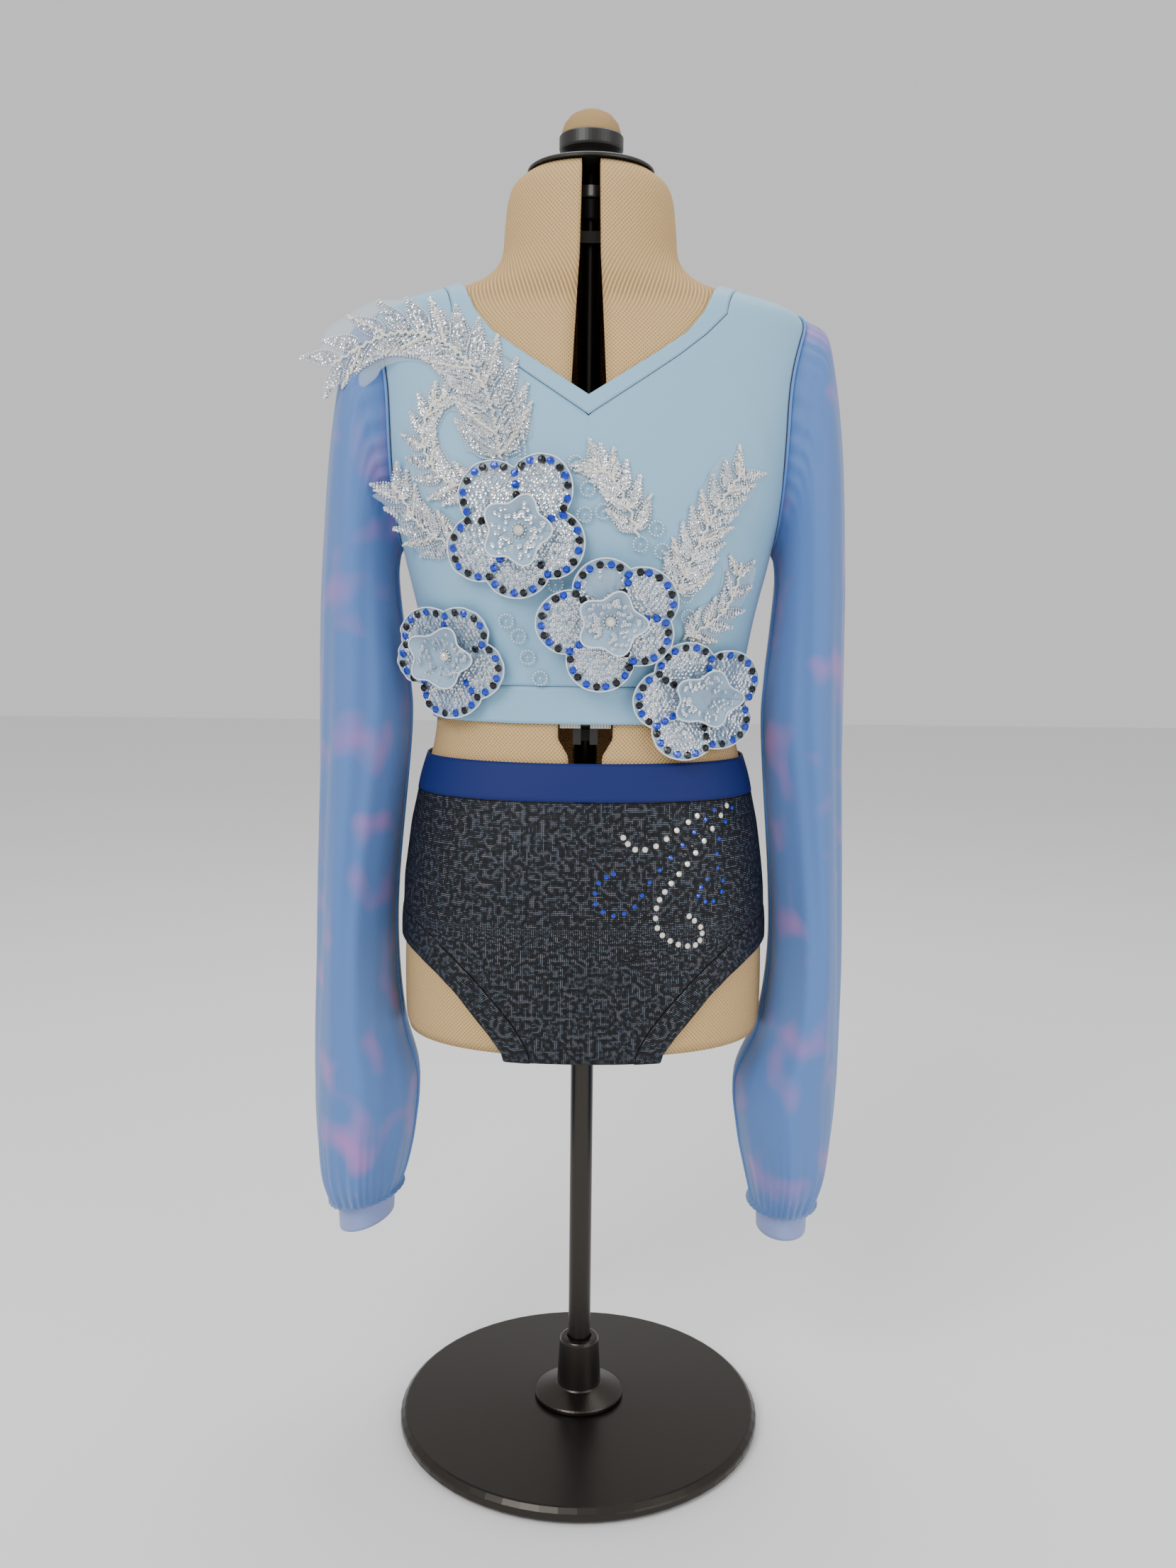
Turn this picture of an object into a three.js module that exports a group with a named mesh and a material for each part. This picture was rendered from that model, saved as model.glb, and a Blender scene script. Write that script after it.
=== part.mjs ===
// A two-piece dance costume, worn by a limbless adjustable dress form that stands on a pole and a round base.
// Millimetres, +Z up, the front faces -Y. The origin is the middle of the base's underside.
// The upper piece is a cropped bodice with a V neck, hem band, long sheer sleeves and flower applique;
// the lower piece is a high-waisted brief with a waistband, gusset and leg bands.
import * as THREE from "three";

// Driving dimensions
const clothWall = 1.2; // bodice and brief cloth with its seam allowance
const bandWall = 1.6; // doubled cloth of the bands
const sheerWall = 1.0;
const seamGap = 0.3; // between two pieces at a seam
const clothEase = 1.5; // from the form's cover to the inside of the cloth
const formWall = 5; // moulded half-shell with its fabric cover
const neckTop = 925; // top edge of the form's panels
const formHem = 318; // bottom edge of the form's panels
const hemLevel = 546; // hem of the cropped bodice
const hemBandTop = 571.7;
const waistbandTop = 519;
const waistbandFoot = 493.3;
const armholeMiddle = 747;
const armholeHalfHeight = 81;
const armholeHalfDepth = 46;
const cupDepth = 5; // how far a flower's petals lift from root to tip
const poleRadius = 8.5;
const baseRadius = 138;
const baseHeight = 16;

// The form's outline: a row for each level, half width, depth in front and behind, and squareness of the section.
const figure = [
  { z: 318, half: 129, front: 95, back: 97, square: 2.3 },
  { z: 330, half: 131.5, front: 98, back: 101, square: 2.3 },
  { z: 380, half: 131.5, front: 100, back: 106, square: 2.3 },
  { z: 441, half: 128, front: 96, back: 104, square: 2.3 },
  { z: 495, half: 119, front: 87, back: 93, square: 2.25 },
  { z: 530, half: 110, front: 81, back: 84, square: 2.2 },
  { z: 560, half: 109, front: 81, back: 80, square: 2.2 },
  { z: 612, half: 117, front: 90, back: 83, square: 2.25 },
  { z: 660, half: 128, front: 99, back: 88, square: 2.35 },
  { z: 700, half: 136, front: 99, back: 92, square: 2.5 },
  { z: 740, half: 143, front: 90, back: 93, square: 2.6 },
  { z: 780, half: 148, front: 78, back: 89, square: 2.6 },
  { z: 808, half: 150, front: 68, back: 80, square: 2.6 },
  { z: 823, half: 148, front: 63, back: 72, square: 2.5 },
  { z: 831, half: 138, front: 60, back: 67, square: 2.4 },
  { z: 837, half: 119, front: 58, back: 63, square: 2.3 },
  { z: 843, half: 98, front: 56.5, back: 59, square: 2.2 },
  { z: 852, half: 76, front: 56, back: 56, square: 2.1 },
  { z: 866, half: 63, front: 56, back: 54, square: 2.05 },
  { z: 890, half: 60, front: 55, back: 53, square: 2 },
  { z: 906, half: 58, front: 53.5, back: 52, square: 2 },
  { z: 917, half: 53.5, front: 49.5, back: 48, square: 2 },
  { z: 925, half: 43, front: 41, back: 40, square: 2 },
];

// Half the gap between the two front panels, with the wider window round the waist dial.
const frontGap = [
  { z: 318, half: 11.7 },
  { z: 524, half: 11.7 },
  { z: 536, half: 19 },
  { z: 572, half: 19 },
  { z: 584, half: 12.5 },
  { z: 760, half: 12.2 },
  { z: 860, half: 7.5 },
  { z: 916, half: 6.4 },
];
const backGapHalf = 7;
const sideGapHalf = 1.2;

// Neckline of the bodice cloth and the free edge of its binding, as half widths at each level.
const frontNeck = [
  { z: 748.5, cloth: 0, binding: 0 },
  { z: 762, cloth: 20, binding: 0 },
  { z: 775, cloth: 39, binding: 20 },
  { z: 790, cloth: 60, binding: 43 },
  { z: 805, cloth: 78, binding: 64 },
  { z: 820, cloth: 92, binding: 76 },
  { z: 829, cloth: 99, binding: 80 },
];
const bindingWidth = 10.5;

// Sleeve rings from the armhole down: the side next to the body, the outer side, and half the depth fore and aft.
const sleeveRight = [
  { innerX: 134, innerZ: 662, outerX: 162, outerZ: 823, depth: 48, fold: 0 },
  { innerX: 136, innerZ: 656, outerX: 171, outerZ: 808, depth: 51, fold: 0 },
  { innerX: 137, innerZ: 638, outerX: 181, outerZ: 742, depth: 56, fold: 0.02 },
  { innerX: 134, innerZ: 604, outerX: 186, outerZ: 652, depth: 57, fold: 0.04 },
  { innerX: 131, innerZ: 572, outerX: 187, outerZ: 596, depth: 57, fold: 0.05 },
  { innerX: 130, innerZ: 532, outerX: 188, outerZ: 540, depth: 57, fold: 0.06 },
  { innerX: 138, innerZ: 425, outerX: 190, outerZ: 425, depth: 58, fold: 0.06 },
  { innerX: 139, innerZ: 368, outerX: 191, outerZ: 368, depth: 59, fold: 0.07 },
  { innerX: 132, innerZ: 316, outerX: 191, outerZ: 316, depth: 60, fold: 0.08 },
  { innerX: 116, innerZ: 276, outerX: 191, outerZ: 276, depth: 61, fold: 0.09 },
  { innerX: 119, innerZ: 236, outerX: 189, outerZ: 236, depth: 59, fold: 0.09 },
  { innerX: 126, innerZ: 202, outerX: 184, outerZ: 202, depth: 52, fold: 0.08 },
  { innerX: 131, innerZ: 180, outerX: 177, outerZ: 180, depth: 42, fold: 0.05 },
];
const sleeveLeft = [
  { innerX: 134, innerZ: 664, outerX: 164, outerZ: 822, depth: 48, fold: 0 },
  { innerX: 136, innerZ: 658, outerX: 173, outerZ: 804, depth: 51, fold: 0 },
  { innerX: 137, innerZ: 640, outerX: 184, outerZ: 738, depth: 56, fold: 0.02 },
  { innerX: 133, innerZ: 604, outerX: 191, outerZ: 648, depth: 57, fold: 0.04 },
  { innerX: 129, innerZ: 572, outerX: 193, outerZ: 594, depth: 57, fold: 0.05 },
  { innerX: 128, innerZ: 532, outerX: 194, outerZ: 540, depth: 57, fold: 0.06 },
  { innerX: 138, innerZ: 425, outerX: 196, outerZ: 425, depth: 58, fold: 0.06 },
  { innerX: 139, innerZ: 368, outerX: 197, outerZ: 368, depth: 59, fold: 0.07 },
  { innerX: 134, innerZ: 316, outerX: 199, outerZ: 316, depth: 60, fold: 0.08 },
  { innerX: 124, innerZ: 276, outerX: 200, outerZ: 276, depth: 61, fold: 0.09 },
  { innerX: 127, innerZ: 236, outerX: 200, outerZ: 240, depth: 59, fold: 0.09 },
  { innerX: 133, innerZ: 206, outerX: 197, outerZ: 202, depth: 52, fold: 0.08 },
  { innerX: 139, innerZ: 188, outerX: 191, outerZ: 180, depth: 42, fold: 0.05 },
];
// A cuff: its middle, half width, half depth, its height, and how far its outer side hangs below the inner one.
const cuffRight = { x: 154, z: 184, half: 19, depth: 29, height: 28, tilt: 0 };
const cuffLeft = { x: 164, z: 189, half: 21, depth: 29, height: 28, tilt: 12 };
const blouseDrop = 9; // how far the sleeve's fullness falls below the cuff seam
const sleeveFolds = 4;
const sleeveSpokes = 20; // columns round a sleeve, the same as stations round the armhole

// Flowers: where each sits on the front, its five petals by direction in degrees and reach, and how far its petals lift.
const flowers = [
  { name: "upper", x: -43, z: 674, lift: 0.9, petals: [[128, 48], [63, 49], [-22, 43], [-92, 42], [204, 46]] },
  { name: "centre", x: 15, z: 618, lift: 6.4, petals: [[100, 40], [35, 45], [-25, 40], [256, 47], [182, 46]] },
  { name: "side", x: -90, z: 592, lift: 2, petals: [[131, 38], [58, 36], [-26, 40], [-82, 44], [188, 35]] },
  { name: "lower", x: 74, z: 565, lift: 2, petals: [[118, 41], [33, 42], [-52, 42], [246, 47], [183, 44]] },
];
const petalHalfWidth = 21;
const petalWall = 1.2;
const heartRadius = 19;
const heartHeight = 9;
const stoneRadius = 3.6;

// Beaded leaf sprays: a spine across the front, half width each side, and the number of leaflets on a side.
const sprays = [
  { name: "shoulder", spine: [[-56, 718], [-66, 762], [-92, 795], [-130, 806], [-172, 786]], width: 24, leaves: 7 },
  { name: "side", spine: [[-72, 700], [-94, 708], [-107, 730], [-104, 752], [-92, 762]], width: 12, leaves: 5 },
  { name: "flank", spine: [[-84, 664], [-100, 672], [-112, 682], [-122, 698], [-128, 706]], width: 15, leaves: 4 },
  { name: "middle", spine: [[32, 672], [26, 690], [18, 704], [10, 712], [2, 718]], width: 13, leaves: 4 },
  { name: "wing", spine: [[58, 634], [66, 654], [76, 676], [88, 698], [102, 716]], width: 15, leaves: 5 },
  { name: "tail", spine: [[64, 606], [78, 614], [90, 624], [98, 640], [101, 656]], width: 10, leaves: 3 },
];

// Materials from the garment
const cloth = (color, roughness) => new THREE.MeshStandardMaterial({ color, roughness, metalness: 0 });
const skyCloth = cloth(0x93bedb, 0.6);
const sheerCloth = cloth(0x6f97cf, 0.7);
const cuffCloth = cloth(0x8492c4, 0.7);
const silverApplique = new THREE.MeshStandardMaterial({ color: 0xc9d3dc, roughness: 0.3, metalness: 0.5 });
const navyCloth = cloth(0x16235f, 0.6);
const blackFoilCloth = cloth(0x17171b, 0.4);
const formCover = cloth(0xc9a878, 0.95);
const blackPlastic = cloth(0x121212, 0.4);
const steel = new THREE.MeshStandardMaterial({ color: 0x9b9a94, roughness: 0.3, metalness: 1 });
const blackSteel = new THREE.MeshStandardMaterial({ color: 0x1b1815, roughness: 0.35, metalness: 0.8 });
const whitePlastic = cloth(0xe9e2d6, 0.5);
const clearStone = new THREE.MeshStandardMaterial({ color: 0xe8e2cf, roughness: 0.1, metalness: 0.1 });

const costume = new THREE.Group();
const add = (name, geometry, material) => {
  const mesh = new THREE.Mesh(geometry, material);
  mesh.name = name;
  costume.add(mesh);
  return mesh;
};
const radians = THREE.MathUtils.degToRad;
const mix = THREE.MathUtils.lerp;

// A value of a table's column at level z, with straight lines between the rows.
function column(table, key, z) {
  const after = table.findIndex((row) => row.z >= z);
  if (after === 0) return table[0][key];
  if (after < 0) return table[table.length - 1][key];
  const [low, high] = [table[after - 1], table[after]];
  return mix(low[key], high[key], (z - low.z) / (high.z - low.z));
}

// The form's section at place v in its table, eased by a Catmull-Rom curve through the rows.
function section(v) {
  const last = figure.length - 1;
  const i = Math.min(Math.max(Math.floor(v), 0), last - 1);
  const t = Math.min(Math.max(v - i, 0), 1);
  const row = (j) => figure[Math.min(Math.max(j, 0), last)];
  const eased = (key) => {
    const [a, b, c, d] = [row(i - 1)[key], row(i)[key], row(i + 1)[key], row(i + 2)[key]];
    return b + 0.5 * t * (c - a + t * (2 * a - 5 * b + 4 * c - d + t * (3 * (b - c) + d - a)));
  };
  return { z: eased("z"), half: eased("half"), front: eased("front"), back: eased("back"), square: eased("square") };
}

// The place in the table whose section lies at level z, by halving.
function placeOf(z) {
  let [low, high] = [0, figure.length - 1];
  for (let n = 0; n < 40; n++) {
    const middle = (low + high) / 2;
    if (section(middle).z < z) low = middle;
    else high = middle;
  }
  return (low + high) / 2;
}

// A point of the form's skin, moved out by lift. The angle runs from 0 at the front to 180 degrees at the back.
function skin(v, angle, side, lift) {
  const s = section(v);
  const behind = angle > Math.PI / 2;
  const deep = behind ? s.back : s.front;
  const power = 2 / s.square;
  const x = s.half * Math.pow(Math.abs(Math.sin(angle)), power);
  const y = deep * Math.pow(Math.abs(Math.cos(angle)), power);
  const step = 0.02;
  const [below, above] = [section(v - step), section(v + step)];
  const rise = above.z - below.z;
  const halfSlope = (above.half - below.half) / rise;
  const deepSlope = (behind ? above.back - below.back : above.front - below.front) / rise;
  const [wide, far] = [Math.pow(x / s.half, s.square - 1), Math.pow(y / deep, s.square - 1)];
  const normal = new THREE.Vector3(
    wide / s.half,
    far / deep,
    -(wide * (x / s.half) * halfSlope) / s.half - (far * (y / deep) * deepSlope) / deep,
  ).normalize();
  const turn = behind ? 1 : -1;
  return new THREE.Vector3(
    side * (x + normal.x * lift),
    turn * (y + normal.y * lift),
    s.z + normal.z * lift,
  );
}
const skinAt = (z, angle, side, lift) => skin(placeOf(z), angle, side, lift);

// The angle at which a section is x wide of the middle, or y deep.
const angleAtX = (s, x) => Math.asin(Math.pow(Math.min(Math.max(x / s.half, 0), 1), s.square / 2));
const angleAtY = (s, y, deep) => Math.acos(Math.pow(Math.min(Math.max(y / deep, 0), 1), s.square / 2));

// How far in front of the pole the form's skin lies at x, z, or null beside the form.
function frontDepth(x, z) {
  const s = section(placeOf(z));
  const share = Math.abs(x) / s.half;
  return share < 1 ? s.front * Math.pow(1 - Math.pow(share, s.square), 1 / s.square) : null;
}

// A sheet of cells with an outer and an inner point at each corner, closed into a wall by a rim along its free edges.
class Sheet {
  constructor() {
    this.ids = new Map();
    this.outer = [];
    this.inner = [];
    this.cells = [];
  }
  corner(key, outer, inner) {
    if (!this.ids.has(key)) {
      this.ids.set(key, this.outer.length);
      this.outer.push(outer);
      this.inner.push(inner);
    }
    return this.ids.get(key);
  }
  cell(a, b, c, d, flip = false) {
    const ring = [a, b, c, d].filter((id, i, all) => id !== all[(i + 1) % 4]);
    if (ring.length > 2) this.cells.push(flip ? ring.reverse() : ring);
  }
  close() {
    const count = this.outer.length;
    const edges = new Set();
    const faces = [];
    for (const ring of this.cells) {
      ring.forEach((id, i) => edges.add(id + ">" + ring[(i + 1) % ring.length]));
      for (let i = 1; i < ring.length - 1; i++) {
        faces.push(ring[0], ring[i], ring[i + 1]);
        faces.push(count + ring[0], count + ring[i + 1], count + ring[i]);
      }
    }
    for (const edge of edges) {
      const [a, b] = edge.split(">").map(Number);
      if (!edges.has(b + ">" + a)) faces.push(b, a, count + a, b, count + a, count + b);
    }
    const points = [...this.outer, ...this.inner].flatMap((p) => [p.x, p.y, p.z]);
    const geometry = new THREE.BufferGeometry();
    geometry.setAttribute("position", new THREE.Float32BufferAttribute(points, 3));
    geometry.setIndex(faces);
    return geometry;
  }
}

// A wall on the form's skin: rows of places, and for each row the angles where it starts and ends.
function skinPanel({ rows, columns, limits, side, ease, thick, flip }) {
  const sheet = new Sheet();
  const ids = rows.map((v, i) => {
    const [from, to] = limits(v, i);
    return Array.from({ length: columns + 1 }, (_, j) => {
      const angle = mix(from, to, j / columns);
      return sheet.corner(i + ":" + j, skin(v, angle, side, ease + thick), skin(v, angle, side, ease));
    });
  });
  for (let i = 0; i < rows.length - 1; i++)
    for (let j = 0; j < columns; j++)
      sheet.cell(ids[i][j], ids[i][j + 1], ids[i + 1][j + 1], ids[i + 1][j], flip);
  return sheet.close();
}

// Places between key levels, a count of steps for each stretch.
function levels(...stretches) {
  const places = [placeOf(stretches[0][0])];
  stretches.forEach(([from, to, steps]) => {
    const [a, b] = [placeOf(from), placeOf(to)];
    for (let i = 1; i <= steps; i++) places.push(mix(a, b, i / steps));
  });
  return places;
}

// The dress form: four panels round the pole, parted in front, behind and at the sides.
function formPanels() {
  const rows = levels([formHem, 495, 3], [495, 524, 1], [524, 536, 1], [536, 572, 3], [572, 584, 1],
    [584, 740, 4], [740, 823, 3], [823, 852, 4], [852, 906, 2], [906, neckTop, 2]);
  for (const [side, word] of [[-1, "left"], [1, "right"]]) {
    const frontLimits = (v) => {
      const s = section(v);
      return [angleAtX(s, column(frontGap, "half", s.z)), angleAtY(s, sideGapHalf, s.front)];
    };
    const backLimits = (v) => {
      const s = section(v);
      return [Math.PI - angleAtY(s, sideGapHalf, s.back), Math.PI - angleAtX(s, backGapHalf)];
    };
    const common = { rows, columns: 5, side, ease: -formWall, thick: formWall, flip: side < 0 };
    add("form_front_" + word, skinPanel({ ...common, limits: frontLimits }), formCover);
    add("form_back_" + word, skinPanel({ ...common, limits: backLimits }), formCover);
  }
}

// Half the armhole's depth at level z: an upright oval.
function armholeDepth(z) {
  const share = (z - armholeMiddle) / armholeHalfHeight;
  return Math.abs(share) < 1 ? armholeHalfDepth * Math.sqrt(1 - share * share) : 0;
}
const armholeLevel = (turn) => armholeMiddle - armholeHalfHeight * Math.cos(turn);

// The neckline seen from above where it crosses the shoulder: its half width at a depth from the shoulder seam.
const neckHalf = 104; // at the shoulder seam
const neckPlan = { frontHalf: 92, frontDepth: 55, backDepth: 68.5, square: 2.7, from: 820, backDip: 828.5 };
const planHalf = (behind, depth) =>
  behind
    ? neckHalf * Math.max(0, 1 - (depth / neckPlan.backDepth) ** neckPlan.square) ** (1 / neckPlan.square)
    : mix(neckHalf, neckPlan.frontHalf, (depth / neckPlan.frontDepth) ** 2);

// Where the section crosses a line in plan: how deep, found by halving.
function planDepth(s, behind) {
  const deep = behind ? s.back : s.front;
  let [low, high] = [0, behind ? neckPlan.backDepth : neckPlan.frontDepth];
  for (let n = 0; n < 40; n++) {
    const middle = (low + high) / 2;
    const inside = (planHalf(behind, middle) / s.half) ** s.square + (middle / deep) ** s.square < 1;
    if (inside) low = middle;
    else high = middle;
  }
  return (low + high) / 2;
}

// The half width of the neckline's cloth edge at a level, in front or behind.
function neckEdge(s, behind) {
  if (behind) return s.z <= neckPlan.backDip + 0.01 ? 0 : planHalf(true, planDepth(s, true));
  if (s.z <= neckPlan.from + 0.01) return column(frontNeck, "cloth", s.z);
  return planHalf(false, planDepth(s, false));
}

// A point of the shoulder at x, y in plan, moved out by lift.
function shoulderPoint(x, y, lift) {
  const behind = y > 0;
  let [low, high] = [placeOf(780), placeOf(870)];
  for (let n = 0; n < 40; n++) {
    const middle = (low + high) / 2;
    const s = section(middle);
    if ((Math.abs(x) / s.half) ** s.square + (Math.abs(y) / (behind ? s.back : s.front)) ** s.square < 1) low = middle;
    else high = middle;
  }
  const angle = angleAtX(section(low), Math.abs(x));
  return skin(low, behind ? Math.PI - angle : angle, x < 0 ? -1 : 1, lift);
}

// Rows of the bodice: up the side seam, past the armhole, then along the shoulder to the neck point.
const neckPointLevel = shoulderPoint(neckHalf, -0.01, 0).z;
const neckDepths = { front: [49, 41, 32, 22, 11], back: [68, 66, 62.5, 56, 47, 36, 23, 10] };
const neckLevels = (behind) =>
  neckDepths[behind ? "back" : "front"].map((y) => shoulderPoint(planHalf(behind, y), behind ? y : -y, 0).z);
const bodiceLevels = {
  front: [666, 674, 692, 720, 748.5, 762, 775, 790, 805, 815, 820, 826, ...neckLevels(false), neckPointLevel],
  back: [666, 674, 692, 720, 762, 792, 808, 817, 824, neckPlan.backDip, ...neckLevels(true), neckPointLevel],
};
const levelsOf = (behind) => bodiceLevels[behind ? "back" : "front"];
const bodiceRows = (behind) =>
  [...levels([hemBandTop + seamGap, 666, 3]).slice(0, -1), ...levelsOf(behind).map(placeOf)];

// The bodice's front or back: two halves that meet down the middle below the neckline.
function bodicePanel(behind) {
  const sheet = new Sheet();
  const columns = 7;
  const rows = bodiceRows(behind);
  for (const side of [-1, 1]) {
    const ids = rows.map((v, i) => {
      const s = section(v);
      const neck = neckEdge(s, behind);
      const end = angleAtY(s, Math.max(armholeDepth(s.z), seamGap / 2), behind ? s.back : s.front);
      const start = Math.min(angleAtX(s, neck), end);
      return Array.from({ length: columns + 1 }, (_, j) => {
        const angle = mix(start, end, j / columns);
        const turned = behind ? Math.PI - angle : angle;
        const last = i === rows.length - 1;
        const key = j === 0 && neck === 0 ? i + ":middle" : i + ":" + side * (last ? 1 : j + 1);
        return sheet.corner(key, skin(v, turned, side, clothEase + clothWall), skin(v, turned, side, clothEase));
      });
    });
    for (let i = 0; i < rows.length - 1; i++)
      for (let j = 0; j < columns; j++)
        sheet.cell(ids[i][j], ids[i][j + 1], ids[i + 1][j + 1], ids[i + 1][j], side < 0 !== behind);
  }
  return sheet.close();
}

// A point on the front or back of the form at x, z, moved out by lift.
function skinAtX(x, z, lift, behind = false) {
  const v = placeOf(z);
  const angle = angleAtX(section(v), Math.abs(x));
  return skin(v, behind ? Math.PI - angle : angle, x < 0 ? -1 : 1, lift);
}

// The binding's stations up one side: at each the seam, its own middle and its free edge, as points by lift.
function bindingStations(behind) {
  const turn = behind ? 1 : -1;
  const across = [0, 0.5, 1];
  const stations = [];
  if (!behind)
    frontNeck.filter(({ z }) => z <= neckPlan.from).forEach((row, i) => {
      const freeZ = Math.min(row.z + mix(13.5, 8, i / 5), 829);
      const freeX = column(frontNeck, "binding", freeZ);
      const seamX = Math.max(row.cloth - seamGap, 0);
      stations.push(across.map((t) => (side, lift) =>
        skinAtX(side * (mix(seamX, freeX, t) || 1e-4), mix(row.z + seamGap * 1.5, freeZ, t), lift)));
    });
  const shrink = behind ? (neckPlan.backDepth - 6) / neckPlan.backDepth : 0.98;
  levelsOf(behind).filter((z) => (behind ? z >= neckPlan.backDip : z > neckPlan.from)).forEach((z) => {
    const s = section(placeOf(z));
    const depth = z === neckPointLevel ? seamGap / 2 : planDepth(s, behind);
    const half = behind && z === neckPlan.backDip ? 1e-4 : planHalf(behind, depth);
    const [seamX, seamY] = [Math.max(half - seamGap * 1.5, 1e-4), Math.max(depth - (behind ? seamGap * 1.5 : 0), seamGap / 2)];
    const [freeX, freeY] = [Math.max(half - mix(bindingWidth + 1, 0, behind ? 1 - half / neckHalf : 0), 1e-4), seamY * shrink];
    stations.push(across.map((t) => (side, lift) => {
      const p = shoulderPoint(side * mix(seamX, freeX, t), turn * mix(seamY, Math.max(freeY, seamGap / 2), t), lift);
      p.y = turn * Math.max(turn * p.y, seamGap / 2);
      return p;
    }));
  });
  return stations;
}

// The neck binding: a doubled strip from the cloth's neckline to its free edge.
function neckBinding(behind) {
  const sheet = new Sheet();
  const stations = bindingStations(behind);
  for (const side of [-1, 1]) {
    const ids = stations.map((station, i) =>
      station.map((at, j) => {
        const [outer, inner] = [at(side, clothEase + bandWall), at(side, clothEase)];
        if (i === 0) outer.x = inner.x = 0;
        return sheet.corner(i === 0 ? "middle:" + j : side + ":" + i + ":" + j, outer, inner);
      }),
    );
    for (let i = 0; i < stations.length - 1; i++)
      for (let j = 0; j < 2; j++)
        sheet.cell(ids[i][j], ids[i + 1][j], ids[i + 1][j + 1], ids[i][j + 1], side < 0 !== behind);
  }
  return sheet.close();
}

// A band all round the form between two levels.
function ringBand(foot, top, ease, thick, rowsCount = 2) {
  const sheet = new Sheet();
  const spokes = 32;
  const ids = levels([foot, top, rowsCount]).map((v, i) =>
    Array.from({ length: spokes }, (_, j) => {
      const round = (2 * Math.PI * j) / spokes;
      const [angle, side] = round <= Math.PI ? [round, 1] : [2 * Math.PI - round, -1];
      return sheet.corner(i + ":" + j, skin(v, angle, side, ease + thick), skin(v, angle, side, ease));
    }),
  );
  for (let i = 0; i < rowsCount; i++)
    for (let j = 0; j < spokes; j++)
      sheet.cell(ids[i][j], ids[i][(j + 1) % spokes], ids[i + 1][(j + 1) % spokes], ids[i + 1][j]);
  return sheet.close();
}

// A tube from rings of points, thickened along its own normals.
function tubeWall(rings, thick, flip) {
  const sheet = new Sheet();
  const spokes = rings[0].length;
  const normal = (i, j) => {
    const along = rings[Math.min(i + 1, rings.length - 1)][j].clone().sub(rings[Math.max(i - 1, 0)][j]);
    const round = rings[i][(j + 1) % spokes].clone().sub(rings[i][(j + spokes - 1) % spokes]);
    return along.cross(round).normalize().multiplyScalar(flip ? -1 : 1);
  };
  const ids = rings.map((ring, i) =>
    ring.map((p, j) => sheet.corner(i + ":" + j, p.clone().addScaledVector(normal(i, j), thick), p.clone())),
  );
  for (let i = 0; i < rings.length - 1; i++)
    for (let j = 0; j < spokes; j++)
      sheet.cell(ids[i][j], ids[i + 1][j], ids[i + 1][(j + 1) % spokes], ids[i][(j + 1) % spokes], flip);
  return sheet.close();
}

// The ring of a cuff at a share of its height below its top.
function cuffRing(cuff, side, below, grow = 0) {
  return Array.from({ length: sleeveSpokes }, (_, j) => {
    const turn = (2 * Math.PI * j) / sleeveSpokes;
    const across = -Math.cos(turn);
    const x = cuff.x + across * (cuff.half + grow);
    return new THREE.Vector3(
      side * x,
      -Math.sin(turn) * (cuff.depth + grow),
      cuff.z - below - (cuff.tilt * across) / 2,
    );
  });
}

// A sleeve: it leaves the armhole, turns down, hangs in soft folds and blouses over its cuff.
function sleeve(table, cuff, side) {
  const round = Array.from({ length: sleeveSpokes }, (_, j) => (2 * Math.PI * j) / sleeveSpokes);
  const start = clothEase + clothWall + seamGap;
  const armhole = round.map((turn) => {
    const z = armholeLevel(turn);
    const s = section(placeOf(z));
    const behind = turn > Math.PI;
    const angle = angleAtY(s, armholeDepth(z) - 0.6, behind ? s.back : s.front);
    return skinAt(z, behind ? Math.PI - angle : angle, side, start + 0.2);
  });
  const hanging = table.map((row) =>
    round.map((turn) => {
      const share = (1 - Math.cos(turn)) / 2;
      const ripple = 1 + row.fold * Math.cos(sleeveFolds * turn + 0.8) * Math.sin(turn) ** 2;
      return new THREE.Vector3(
        side * mix(row.innerX, row.outerX, share),
        -Math.sin(turn) * row.depth * ripple,
        mix(row.innerZ, row.outerZ, share),
      );
    }),
  );
  const last = [cuffRing(cuff, side, blouseDrop, 9), cuffRing(cuff, side, blouseDrop - 1, 4), cuffRing(cuff, side, 0, 1.4)];
  return tubeWall([armhole, ...hanging, ...last], sheerWall, side > 0);
}

// The cuff: a plain knitted tube that hangs from the sleeve's gathered end.
function cuffTube(cuff, side) {
  const rings = [0, 0.5, 1].map((share) => cuffRing(cuff, side, seamGap * 2 + share * cuff.height, -0.6 - share));
  return tubeWall(rings, clothWall, side > 0);
}

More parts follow.
